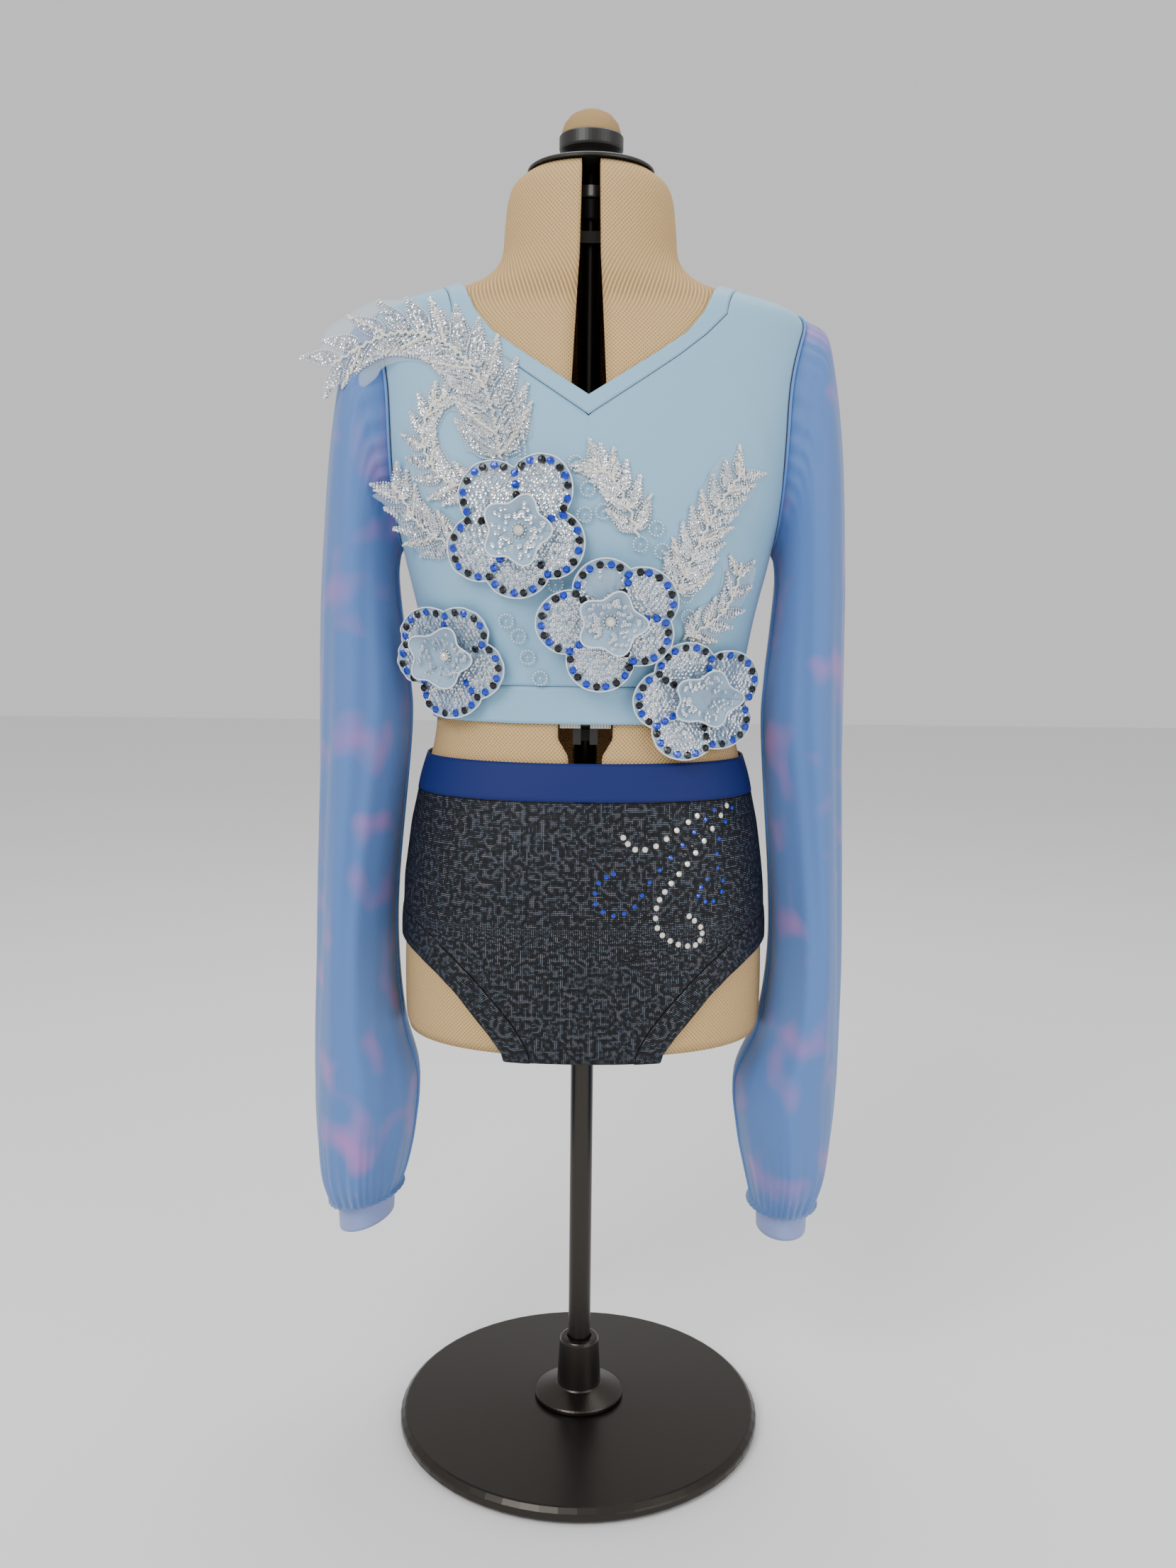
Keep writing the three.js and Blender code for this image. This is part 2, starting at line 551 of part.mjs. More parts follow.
// Where the brief's cloth ends at the leg and where the band's free edge lies, from the foot up to the side.
const legFront = [
  { z: 323, seam: 37, freeZ: 321, free: 55 },
  { z: 339, seam: 46, freeZ: 332, free: 63 },
  { z: 354, seam: 58, freeZ: 345, free: 74 },
  { z: 371, seam: 74, freeZ: 359, free: 86 },
  { z: 385, seam: 90, freeZ: 371, free: 100 },
  { z: 397, seam: 106, freeZ: 380, free: 114 },
  { z: 404, seam: 118, freeZ: 385, free: 124 },
  { z: 406.3, seam: 125, freeZ: 386.8, free: 128 },
  { z: 407.3, seam: 128.4, freeZ: 387.4, free: 130.2 },
  { z: 407.8, seam: 129.9, freeZ: 387.8, free: 131.1 },
];
const legBack = [
  { z: 323, seam: 50, freeZ: 320, free: 66 },
  { z: 334, seam: 72, freeZ: 322, free: 82 },
  { z: 347, seam: 90, freeZ: 331, free: 96 },
  { z: 361, seam: 104, freeZ: 343, free: 108 },
  { z: 375, seam: 114, freeZ: 356, free: 118 },
  { z: 389, seam: 122, freeZ: 370, free: 125 },
  { z: 401, seam: 127, freeZ: 381, free: 129 },
  { z: 405, seam: 129.2, freeZ: 385, free: 130.5 },
  { z: 407.2, seam: 130, freeZ: 387.2, free: 131.2 },
];
const legSide = { z: 408, freeZ: 388 };
const underBandWidth = 9; // leg band beside the pole
const turnUnder = 16; // how far the cloth turns in below the form's hem
const rollLevel = 314.5;
const gussetLevel = 311;
const gussetSag = 4;
const gussetSteps = 8;
const gussetHalf = { front: 35, middle: 13, back: 48 };
const gussetShift = 38; // the strip passes beside the pole

// How deep the cloth hangs at the form's hem, in front or behind.
function hemDepth(x, behind) {
  const s = section(placeOf(formHem));
  const deep = behind ? s.back : s.front;
  return deep * Math.pow(1 - Math.pow(Math.min(Math.abs(x) / s.half, 0.98), s.square), 1 / s.square) + clothEase;
}

// A point of the cloth as it rolls under the hem: first at the corner, then below the form.
function rollPoint(x, behind, under, lift) {
  const turn = behind ? 1 : -1;
  const depth = hemDepth(x, behind) - (under ? turnUnder : 0);
  const out = under ? 0 : lift * Math.SQRT1_2;
  const down = under ? lift : lift * Math.SQRT1_2;
  return new THREE.Vector3(x, turn * (depth + out), (under ? gussetLevel : rollLevel) - down);
}

// The front or back of the brief, from the waistband seam to where it has turned under the form.
function briefPanel(behind) {
  const sheet = new Sheet();
  const columns = 7;
  const leg = behind ? legBack : legFront;
  const deep = (s) => (behind ? s.back : s.front);
  const upper = levels([waistbandFoot - seamGap, legSide.z, 3]).map((v) => ({
    v,
    end: angleAtY(section(v), seamGap / 2, deep(section(v))),
  }));
  const lower = [...leg].reverse().map(({ z, seam }) => ({ v: placeOf(z), end: angleAtX(section(placeOf(z)), seam) }));
  for (const side of [-1, 1]) {
    const key = (i, j) => (j === 0 ? i + ":middle" : i + ":" + side * j);
    const ids = [...upper, ...lower].map(({ v, end }, i) =>
      Array.from({ length: columns + 1 }, (_, j) => {
        const clipped = (Math.PI / 2 / columns) * j >= end;
        const angle = clipped ? end : (Math.PI / 2 / columns) * j;
        const turned = behind ? Math.PI - angle : angle;
        return sheet.corner(clipped ? i + ":end" + side : key(i, j), skin(v, turned, side, clothEase + clothWall), skin(v, turned, side, clothEase));
      }),
    );
    for (const under of [false, true]) {
      const i = ids.length;
      const wide = under ? gussetHalf[behind ? "back" : "front"] : leg[0].seam - 1;
      ids.push(
        Array.from({ length: columns + 1 }, (_, j) => {
          const x = (side * wide * j) / columns;
          return sheet.corner(key(i, j), rollPoint(x, behind, under, clothWall), rollPoint(x, behind, under, 0));
        }),
      );
    }
    for (let i = 0; i < ids.length - 1; i++)
      for (let j = 0; j < columns; j++)
        sheet.cell(ids[i][j], ids[i + 1][j], ids[i + 1][j + 1], ids[i][j + 1], side > 0 === behind);
  }
  return sheet.close();
}

// The gusset's middle, half width and level at a share of the way from the front panel to the back one.
function gussetAt(share) {
  const bow = Math.sin(Math.PI * share);
  const ends = mix(gussetHalf.front, gussetHalf.back, share);
  return {
    middle: gussetShift * Math.pow(bow, 1.5),
    half: mix(ends, gussetHalf.middle, Math.pow(bow, 0.8)),
    z: gussetLevel - gussetSag * bow,
  };
}

// A point under the form at a share of the way back; the ends follow the panels' curved edges.
function underPoint(x, share, lift) {
  const { z } = gussetAt(share);
  const front = -(hemDepth(x, false) - turnUnder) + seamGap;
  const back = hemDepth(x, true) - turnUnder - seamGap;
  return new THREE.Vector3(x, mix(front, back, share), z - lift);
}

// The gusset: a strip under the form that joins the front panel to the back one.
function gusset() {
  const sheet = new Sheet();
  const columns = 4;
  const ids = Array.from({ length: gussetSteps + 1 }, (_, i) => {
    const share = i / gussetSteps;
    const { middle, half } = gussetAt(share);
    return Array.from({ length: columns + 1 }, (_, j) => {
      const x = middle + half * ((2 * j) / columns - 1);
      return sheet.corner(i + ":" + j, underPoint(x, share, clothWall), underPoint(x, share, 0));
    });
  });
  for (let i = 0; i < gussetSteps; i++)
    for (let j = 0; j < columns; j++)
      sheet.cell(ids[i][j], ids[i + 1][j], ids[i + 1][j + 1], ids[i][j + 1]);
  return sheet.close();
}

// A leg band: a ring up the front of the leg opening, over the side, down the back and along the gusset.
function legBand(side) {
  const sheet = new Sheet();
  const stations = [];
  const widths = [0, 0.5, 1];
  const onSkin = ({ z, seam, freeZ, free }, behind) =>
    widths.map((t) => (lift) =>
      skinAtX(side * (mix(seam, free, t) + seamGap), mix(z, freeZ, t) - seamGap, clothEase + lift, behind));
  const onRoll = (behind, under) => {
    const leg = behind ? legBack : legFront;
    const seam = under ? gussetHalf[behind ? "back" : "front"] : leg[0].seam - 1;
    const free = under ? seam + 13 : leg[0].free - 1;
    return widths.map((t) => (lift) => rollPoint(side * (mix(seam, free, t) + seamGap * 1.5), behind, under, lift));
  };
  legFront.forEach((row) => stations.unshift(onSkin(row, false)));
  stations.push(onRoll(false, false), onRoll(false, true));
  for (let i = 1; i < gussetSteps; i++) {
    const share = i / gussetSteps;
    const { middle, half } = gussetAt(share);
    const wide = mix(13, underBandWidth, Math.sin(Math.PI * share));
    stations.push(widths.map((t) => (lift) =>
      underPoint(middle + side * (half + seamGap * 1.5 + wide * t), share, lift)));
  }
  stations.push(onRoll(true, true), onRoll(true, false));
  legBack.forEach((row) => stations.push(onSkin(row, true)));
  stations.push(widths.map((t) => (lift) =>
    skinAt(mix(legSide.z, legSide.freeZ, t) - seamGap, Math.PI / 2, side, clothEase + lift)));
  const ids = stations.map((station, i) =>
    station.map((at, j) => sheet.corner(i + ":" + j, at(bandWall), at(0))),
  );
  const count = ids.length;
  for (let i = 0; i < count; i++)
    for (let j = 0; j < 2; j++)
      sheet.cell(ids[i][j], ids[(i + 1) % count][j], ids[(i + 1) % count][j + 1], ids[i][j + 1], side < 0);
  return sheet.close();
}

// How far a flower's edge reaches in a direction: the farthest petal, each an oval set out from the middle.
function flowerReach(petals, direction, root = 13) {
  return Math.max(root, ...petals.map(([axis, length]) => {
    const away = radians(direction - axis);
    const [middle, along, across] = [0.55 * length, 0.45 * length, petalHalfWidth * Math.min(1, length / 42)];
    const [c, s] = [Math.cos(away) / along, Math.sin(away) / across];
    const square = c * c + s * s;
    const half = (c * middle) / along;
    const rest = half * half - square * ((middle / along) ** 2 - 1);
    return rest > 0 && Math.cos(away) > 0 ? (half + Math.sqrt(rest)) / square : 0;
  }));
}

// A flower: rings out from its middle over the bodice, cupped up towards the petals' corded edges.
const overBands = clothEase + bandWall + seamGap;
const wrapShare = 0.86; // beyond this share of the half width a petal stands off the side instead of wrapping
const standOff = 0.6; // backwards for each millimetre outwards
function petalPoint(x, z, lift) {
  const edge = wrapShare * section(placeOf(z)).half;
  const beyond = Math.max(Math.abs(x) - edge, 0);
  const side = x < 0 ? -1 : 1;
  const point = skinAtX(side * Math.min(Math.abs(x), edge), z, lift);
  point.x += side * beyond;
  point.y += standOff * beyond;
  return point;
}
function flowerCup({ x, z, lift, petals }) {
  const sheet = new Sheet();
  const spokes = 38;
  const shares = [0, 0.45, 0.8, 1];
  const ids = shares.map((share, i) =>
    Array.from({ length: spokes }, (_, j) => {
      const direction = (360 * j) / spokes;
      const reach = share * flowerReach(petals, direction);
      const [px, pz] = [x + reach * Math.cos(radians(direction)), z + reach * Math.sin(radians(direction))];
      const up = overBands + lift + cupDepth * (reach / 45) ** 2;
      const key = i === 0 ? "root" : i + ":" + j;
      return sheet.corner(key, petalPoint(px, pz, up + petalWall), petalPoint(px, pz, up));
    }),
  );
  for (let i = 0; i < shares.length - 1; i++)
    for (let j = 0; j < spokes; j++)
      sheet.cell(ids[i][j], ids[i][(j + 1) % spokes], ids[i + 1][(j + 1) % spokes], ids[i + 1][j], true);
  return sheet.close();
}

// The smaller cup of petals at a flower's heart, with five lobes on its rim.
function heartCup({ x, z, lift }) {
  const sheet = new Sheet();
  const spokes = 20;
  const rings = [[0, 0], [0.55, 0.15], [1, 1]];
  const ids = rings.map(([share, rise], i) =>
    Array.from({ length: spokes }, (_, j) => {
      const turn = (2 * Math.PI * j) / spokes;
      const reach = share * heartRadius * (1 + 0.14 * Math.cos(5 * turn));
      const up = overBands + lift + petalWall + seamGap + 0.3 + rise * heartHeight;
      const [px, pz] = [x + reach * Math.cos(turn), z + reach * Math.sin(turn)];
      const key = i === 0 ? "root" : i + ":" + j;
      return sheet.corner(key, petalPoint(px, pz, up + petalWall), petalPoint(px, pz, up));
    }),
  );
  for (let i = 0; i < rings.length - 1; i++)
    for (let j = 0; j < spokes; j++)
      sheet.cell(ids[i][j], ids[i][(j + 1) % spokes], ids[i + 1][(j + 1) % spokes], ids[i + 1][j], true);
  return sheet.close();
}

const upright = (geometry) => geometry.rotateX(Math.PI / 2);

// A cut stone in its cup: a low faceted cone set on the heart, facing out from the bodice.
function centreStone({ x, z, lift }) {
  const foot = overBands + lift + 2 * petalWall + 2 * seamGap + 1;
  const profile = [[0, 0], [stoneRadius, 0], [stoneRadius, 1.6], [stoneRadius * 0.6, 3.4], [0, 3.4]];
  const geometry = new THREE.LatheGeometry(profile.map(([r, h]) => new THREE.Vector2(r, h)), 12);
  const [at, off] = [skinAtX(x, z, foot), skinAtX(x, z, foot + 1)];
  const facing = new THREE.Quaternion().setFromUnitVectors(new THREE.Vector3(0, 1, 0), off.sub(at).normalize());
  return geometry.applyQuaternion(facing).translate(at.x, at.y, at.z);
}

// A leaf spray: a stem down the spine with pairs of leaflets that lean towards its tip.
const sprayWall = 1;
const stemHalf = 1.6;
const sleeveSide = 122; // from here out a spray lifts over the sleeve's cap
function leafSpray({ spine, width, leaves, lift = 0.3 }) {
  const sheet = new Sheet();
  const curve = new THREE.CatmullRomCurve3(spine.map(([x, z]) => new THREE.Vector3(x, 0, z)));
  const steps = leaves * 2 + 1;
  const base = clothEase + bandWall + seamGap + lift;
  const corner = (key, p) => {
    const [x, z] = [p.x, Math.min(p.z, 832)];
    const up = base + Math.max(Math.abs(x) - sleeveSide, 0) * 0.16;
    return sheet.corner(key, petalPoint(x, z, up + sprayWall), petalPoint(x, z, up));
  };
  const frame = (t) => {
    const along = curve.getTangentAt(t);
    return { middle: curve.getPointAt(t), along, across: new THREE.Vector3(along.z, 0, -along.x) };
  };
  const ids = Array.from({ length: steps + 1 }, (_, i) => {
    const { middle, across } = frame(i / steps);
    return [-1, 1].map((hand) => corner(i + ":" + hand, middle.clone().addScaledVector(across, hand * stemHalf)));
  });
  for (let i = 0; i < steps; i++) sheet.cell(ids[i][0], ids[i + 1][0], ids[i + 1][1], ids[i][1], true);
  for (let leaf = 0; leaf < leaves; leaf++) {
    const i = 2 * leaf;
    const share = (leaf + 0.5) / leaves;
    const reach = width * mix(1, 0.62, share);
    for (const [hand, k] of [[-1, 0], [1, 1]]) {
      const { middle, along, across } = frame((i + 0.5) / steps);
      const place = (out, on, swell) =>
        middle.clone().addScaledVector(across, hand * out).addScaledVector(along, on + swell);
      const belly = [-1, 1].map((end) =>
        corner("belly" + leaf + hand + end, place(reach * 0.5, reach * 0.32, end * reach * 0.17)));
      const tip = corner("tip" + leaf + hand, place(reach, reach * 0.75, 0));
      sheet.cell(ids[i][k], ids[i + 1][k], belly[1], belly[0], hand > 0);
      sheet.cell(belly[0], belly[1], tip, tip, hand > 0);
    }
  }
  return sheet.close();
}

// The star that holds the form's four panels off the pole at one level.
const armHalf = 6;
function panelHolder(z, height, reachGap = 0.8) {
  const shape = new THREE.Shape();
  const arms = [[1, false], [1, true], [-1, true], [-1, false]];
  const hub = poleRadius + 9;
  const ends = arms.map(([side, behind]) => {
    const middle = behind ? (3 * Math.PI) / 4 : Math.PI / 4;
    const aim = skinAt(z, middle, side, -formWall);
    const turn = Math.atan2(aim.y, aim.x);
    const near = [-0.16, -0.08, 0, 0.08, 0.16].flatMap((off) =>
      [0, 0.5, 1].map((share) => skinAt(z + share * height, middle + off, side, -formWall)));
    const reach = Math.min(...near.map((p) => p.x * Math.cos(turn) + p.y * Math.sin(turn))) - reachGap;
    return { turn, reach };
  });
  ends.sort((a, b) => a.turn - b.turn);
  ends.forEach(({ turn, reach }, n) => {
    [[hub, -1], [reach, -1], [reach, 1], [hub, 1]].forEach(([r, hand], i) => {
      const x = r * Math.cos(turn) - hand * armHalf * Math.sin(turn);
      const y = r * Math.sin(turn) + hand * armHalf * Math.cos(turn);
      if (n === 0 && i === 0) shape.moveTo(x, y);
      else shape.lineTo(x, y);
    });
  });
  shape.closePath();
  shape.holes.push(new THREE.Path().absarc(0, 0, poleRadius + seamGap, 0, 2 * Math.PI, true));
  return new THREE.ExtrudeGeometry(shape, { depth: height, bevelEnabled: false, curveSegments: 8 }).translate(0, 0, z);
}

formPanels();
add("bodice_front", bodicePanel(false), skyCloth);
add("bodice_back", bodicePanel(true), skyCloth);
add("neck_binding_front", neckBinding(false), skyCloth);
add("neck_binding_back", neckBinding(true), skyCloth);
add("hem_band", ringBand(hemLevel, hemBandTop, clothEase, bandWall), skyCloth);
add("sleeve_left", sleeve(sleeveLeft, cuffLeft, -1), sheerCloth);
add("sleeve_right", sleeve(sleeveRight, cuffRight, 1), sheerCloth);
add("cuff_left", cuffTube(cuffLeft, -1), cuffCloth);
add("cuff_right", cuffTube(cuffRight, 1), cuffCloth);
add("waistband", ringBand(waistbandFoot, waistbandTop, clothEase, bandWall), navyCloth);
add("brief_front", briefPanel(false), blackFoilCloth);
add("brief_back", briefPanel(true), blackFoilCloth);
add("brief_gusset", gusset(), blackFoilCloth);
add("leg_band_left", legBand(-1), blackFoilCloth);
add("leg_band_right", legBand(1), blackFoilCloth);
flowers.forEach((flower) => {
  add("flower_" + flower.name, flowerCup(flower), silverApplique);
  add("heart_" + flower.name, heartCup(flower), silverApplique);
  if (flower.name !== "lower") add("stone_" + flower.name, centreStone(flower), clearStone);
});
sprays.forEach((spray) => add("spray_" + spray.name, leafSpray(spray), silverApplique));
for (const [word, z, height] of [["neck", 876, 8], ["waist", 548, 10], ["hip", 404, 10]])
  add("panel_holder_" + word, panelHolder(z, height), blackSteel);

// Metal and plastic on the pole, from the knob down to the base, as radius and height pairs.
const poleBore = poleRadius + seamGap;
const capTop = 929;
const rounds = {
  neck_cap: [[0, 925.3], [44, 925.3], [45, 926], [44, 928.4], [0, capTop]],
  neck_knob: [[0, 929.3], [15.5, 929.3], [15.5, 933], [18.5, 938], [22.5, 941.5], [22.5, 951], [20.8, 951], [20.8, 947],
    [0, 947]],
  pin_cushion: [[0, 947.3], [20.4, 947.3], [20.9, 953], [19, 959], [14.5, 964.5], [8, 967.8], [0, 968.6]],
  collar_ring: [[poleBore, 907.3], [15, 907.3], [15, 915.9], [poleBore, 915.9]],
  neck_collar: [[poleBore, 893], [13, 893], [13, 907], [poleBore, 907]],
  pole: [[0, baseHeight + seamGap], [poleRadius, baseHeight + seamGap], [poleRadius, 925], [0, 925]],
  base_hub: [[poleBore, 16.3], [34, 16.3], [34, 20], [17, 26], [15, 62], [13.5, 64], [poleBore, 64]],
  base_disc: [[0, 0], [134, 0], [baseRadius, 3], [baseRadius, 8], [134, 12], [40, baseHeight], [0, baseHeight]],
};
const finishes = { neck_cap: blackPlastic, neck_knob: blackPlastic, neck_collar: blackPlastic, collar_ring: steel,
  pin_cushion: formCover };
for (const [name, profile] of Object.entries(rounds)) {
  const closed = profile[0][0] === 0 ? profile : [...profile, profile[0]];
  const spokes = name === "base_disc" ? 36 : 20;
  const geometry = new THREE.LatheGeometry(closed.map(([r, h]) => new THREE.Vector2(r, h)), spokes);
  add(name, upright(geometry), finishes[name] ?? blackSteel);
}

// The waist dial: a toothed wheel in a fork on the waist holder, with a white scale plate on each side of it.
const dialCentre = { y: -62, z: 556 };
const wheelRadius = 15;
function dialWheel() {
  const shape = new THREE.Shape();
  const teeth = 24;
  for (let i = 0; i <= teeth * 2; i++) {
    const turn = (Math.PI * i) / teeth;
    const r = i % 2 ? wheelRadius : wheelRadius - 1.2;
    shape[i ? "lineTo" : "moveTo"](r * Math.cos(turn), r * Math.sin(turn));
  }
  const geometry = new THREE.ExtrudeGeometry(shape, { depth: 5, bevelEnabled: false }).rotateY(Math.PI / 2);
  return geometry.translate(-2.5, dialCentre.y, dialCentre.z);
}
add("waist_dial", dialWheel(), blackSteel);
const outline = (corners) => {
  const shape = new THREE.Shape();
  corners.forEach(([x, y], i) => shape[i ? "lineTo" : "moveTo"](x, y));
  return shape;
};
const forkCorners = [[-8.5, -74], [-3, -74], [-3, -44], [3, -44], [3, -74], [8.5, -74], [8.5, -24], [-8.5, -24]];
add("dial_fork", new THREE.ExtrudeGeometry(outline(forkCorners), { depth: 16, bevelEnabled: false })
  .translate(0, 0, 531.5), blackPlastic);
for (const [side, word] of [[-1, "left"], [1, "right"]])
  add("dial_scale_" + word, new THREE.BoxGeometry(14, 1.6, 24).translate(side * 10.4, -75.2, 554.8), whitePlastic);

export default costume;
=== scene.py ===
import bpy
import bmesh
import numpy as np
from math import radians, pi
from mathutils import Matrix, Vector


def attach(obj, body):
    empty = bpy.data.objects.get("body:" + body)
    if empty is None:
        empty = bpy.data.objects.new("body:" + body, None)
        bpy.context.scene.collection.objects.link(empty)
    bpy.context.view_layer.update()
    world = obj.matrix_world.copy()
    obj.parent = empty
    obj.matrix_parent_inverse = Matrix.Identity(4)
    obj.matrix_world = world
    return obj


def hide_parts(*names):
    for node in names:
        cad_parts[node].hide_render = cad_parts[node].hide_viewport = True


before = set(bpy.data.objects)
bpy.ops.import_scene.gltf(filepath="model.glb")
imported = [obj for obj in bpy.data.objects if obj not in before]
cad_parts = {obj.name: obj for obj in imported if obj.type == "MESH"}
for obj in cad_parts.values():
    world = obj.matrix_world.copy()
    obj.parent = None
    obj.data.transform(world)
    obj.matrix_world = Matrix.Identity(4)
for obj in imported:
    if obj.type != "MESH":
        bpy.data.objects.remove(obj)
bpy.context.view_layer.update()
rng = np.random.default_rng(7)

# The form's outline, a row for each level: z, half width, depth in front, depth behind, squareness (mm).
figure = np.array([
    (318, 129, 95, 97, 2.3), (330, 131.5, 98, 101, 2.3), (380, 131.5, 100, 106, 2.3), (441, 128, 96, 104, 2.3),
    (495, 119, 87, 93, 2.25), (530, 110, 81, 84, 2.2), (560, 109, 81, 80, 2.2), (612, 117, 90, 83, 2.25),
    (660, 128, 99, 88, 2.35), (700, 136, 99, 92, 2.5), (740, 143, 90, 93, 2.6), (780, 148, 78, 89, 2.6),
    (808, 150, 68, 80, 2.6), (823, 148, 63, 72, 2.5), (831, 138, 60, 67, 2.4), (837, 119, 58, 63, 2.3),
    (843, 98, 56.5, 59, 2.2), (852, 76, 56, 56, 2.1), (866, 63, 56, 54, 2.05), (890, 60, 55, 53, 2),
    (906, 58, 53.5, 52, 2), (917, 53.5, 49.5, 48, 2), (925, 43, 41, 40, 2)], float)
cut = {"ease": 1.5, "cloth": 1.2, "band": 1.6, "gap": 0.3, "hem": 546, "hemTop": 571.7,
       "waistFoot": 493.3, "waistTop": 519, "armMiddle": 747, "armHalf": 81, "armDepth": 46,
       "neckHalf": 104, "neckFrontHalf": 92, "neckFrontDepth": 55, "neckBackDepth": 68.5, "neckSquare": 2.7,
       "neckFrom": 820, "backDip": 828.5}


def curve(rows, v):  # a Catmull-Rom curve through a table's rows, at places 0 to the last row
    v = np.asarray(v, float)
    last = len(rows) - 1
    i = np.clip(np.floor(v).astype(int), 0, last - 1)
    t = np.clip(v - i, 0, 1)[..., None]
    a, b, c, d = (rows[np.clip(i + k, 0, last)] for k in (-1, 0, 1, 2))
    return b + 0.5 * t * (c - a + t * (2 * a - 5 * b + 4 * c - d + t * (3 * (b - c) + d - a)))


def section(v):  # the form's outline at place v in its table
    return curve(figure, v)


def unit(v):  # vectors brought to length one
    return v / np.linalg.norm(v, axis=-1, keepdims=True)


placeTable = np.linspace(0, len(figure) - 1, 8801)
levelTable = section(placeTable)[:, 0]


def placeOf(z):  # the place whose level is z
    return np.interp(z, levelTable, placeTable)


def skin(v, angle, lift):
    # superellipse x = half * sin^(2/n), y = depth * cos^(2/n), moved out along its normal by lift;
    # the angle is 0 in front, 180 degrees behind, and negative on the left
    v, angle, lift = np.broadcast_arrays(v, angle, lift)
    s, below, above = section(v), section(v - 0.02), section(v + 0.02)
    rise = above[..., 0] - below[..., 0]
    half, n = s[..., 1], s[..., 4]
    behind = np.abs(angle) > pi / 2
    deep = np.where(behind, s[..., 3], s[..., 2])
    deepSlope = np.where(behind, above[..., 3] - below[..., 3], above[..., 2] - below[..., 2]) / rise
    x = half * np.abs(np.sin(angle)) ** (2 / n)
    y = deep * np.abs(np.cos(angle)) ** (2 / n)
    wide, far = (x / half) ** (n - 1), (y / deep) ** (n - 1)
    normal = unit(np.stack([wide / half, far / deep, -wide * x / half ** 2 * (above[..., 1] - below[..., 1]) / rise
                            - far * y / deep ** 2 * deepSlope], -1))
    p = np.stack([x, y, s[..., 0]], -1) + normal * lift[..., None]
    return p * np.stack([np.where(angle < 0, -1, 1), np.where(behind, 1, -1), np.ones_like(x)], -1)


def angleAtX(z, x):  # the front angle at which a section is x wide
    s = section(placeOf(z))
    return np.arcsin(np.clip(np.abs(x) / s[..., 1], 0, 1) ** (s[..., 4] / 2))


def angleAtY(z, y, behind):  # the front angle at which a section is y deep
    s = section(placeOf(z))
    return np.arccos(np.clip(y / s[..., 3 if behind else 2], 0, 1) ** (s[..., 4] / 2))


def skinAtX(x, z, lift, behind=False):  # the skin's point at x, z, in front or behind
    x = np.asarray(x, float)
    angle = angleAtX(z, x)
    return skin(placeOf(z), np.where(x < 0, -1, 1) * (pi - angle if behind else angle), lift)


def clothPoint(x, z, lift):  # the same in front, but past 0.86 of the half width it stands off the side
    x, z, lift = np.broadcast_arrays(np.asarray(x, float), z, lift)
    edge = 0.86 * section(placeOf(z))[..., 1]
    beyond = np.maximum(np.abs(x) - edge, 0)
    sign = np.where(x < 0, -1, 1)
    p = skinAtX(sign * np.minimum(np.abs(x), edge), z, lift)
    return p + np.stack([sign * beyond, 0.6 * beyond, 0 * beyond], -1)


def shoulderPoint(x, y, lift):  # the shoulder's point at x, y in plan, its level found by halving
    x, y = np.broadcast_arrays(np.asarray(x, float), np.asarray(y, float))
    low, high = np.full(x.shape, placeOf(780.0)), np.full(x.shape, placeOf(870.0))
    column = np.where(y > 0, 3, 2)
    for _ in range(36):
        middle = (low + high) / 2
        s = section(middle)
        deep = np.take_along_axis(s, column[..., None], -1)[..., 0]
        inside = (np.abs(x) / s[..., 1]) ** s[..., 4] + (np.abs(y) / deep) ** s[..., 4] < 1
        low, high = np.where(inside, middle, low), np.where(inside, high, middle)
    s = section(low)
    angle = np.arcsin(np.clip(np.abs(x) / s[..., 1], 0, 1) ** (s[..., 4] / 2))
    return skin(low, np.where(x < 0, -1, 1) * np.where(y > 0, pi - angle, angle), lift)


def gridFaces(rows, columns, around=False):  # quads of a grid of points, closed round its columns if asked
    i, j = np.meshgrid(np.arange(rows - 1), np.arange(columns if around else columns - 1), indexing="ij")
    k = (j + 1) % columns
    return np.stack([i * columns + j, i * columns + k, (i + 1) * columns + k, (i + 1) * columns + j], -1).reshape(-1, 4)


def runs(points):  # lengths along a grid's rows and columns, its own flat coordinates in mm
    across = np.cumsum(np.linalg.norm(np.diff(points, axis=1, prepend=points[:, :1]), axis=-1), 1)
    down = np.cumsum(np.linalg.norm(np.diff(points, axis=0, prepend=points[:1]), axis=-1), 0)
    return np.stack([across - across.mean(1, keepdims=True), down.mean(1, keepdims=True) + 0 * down], -1)


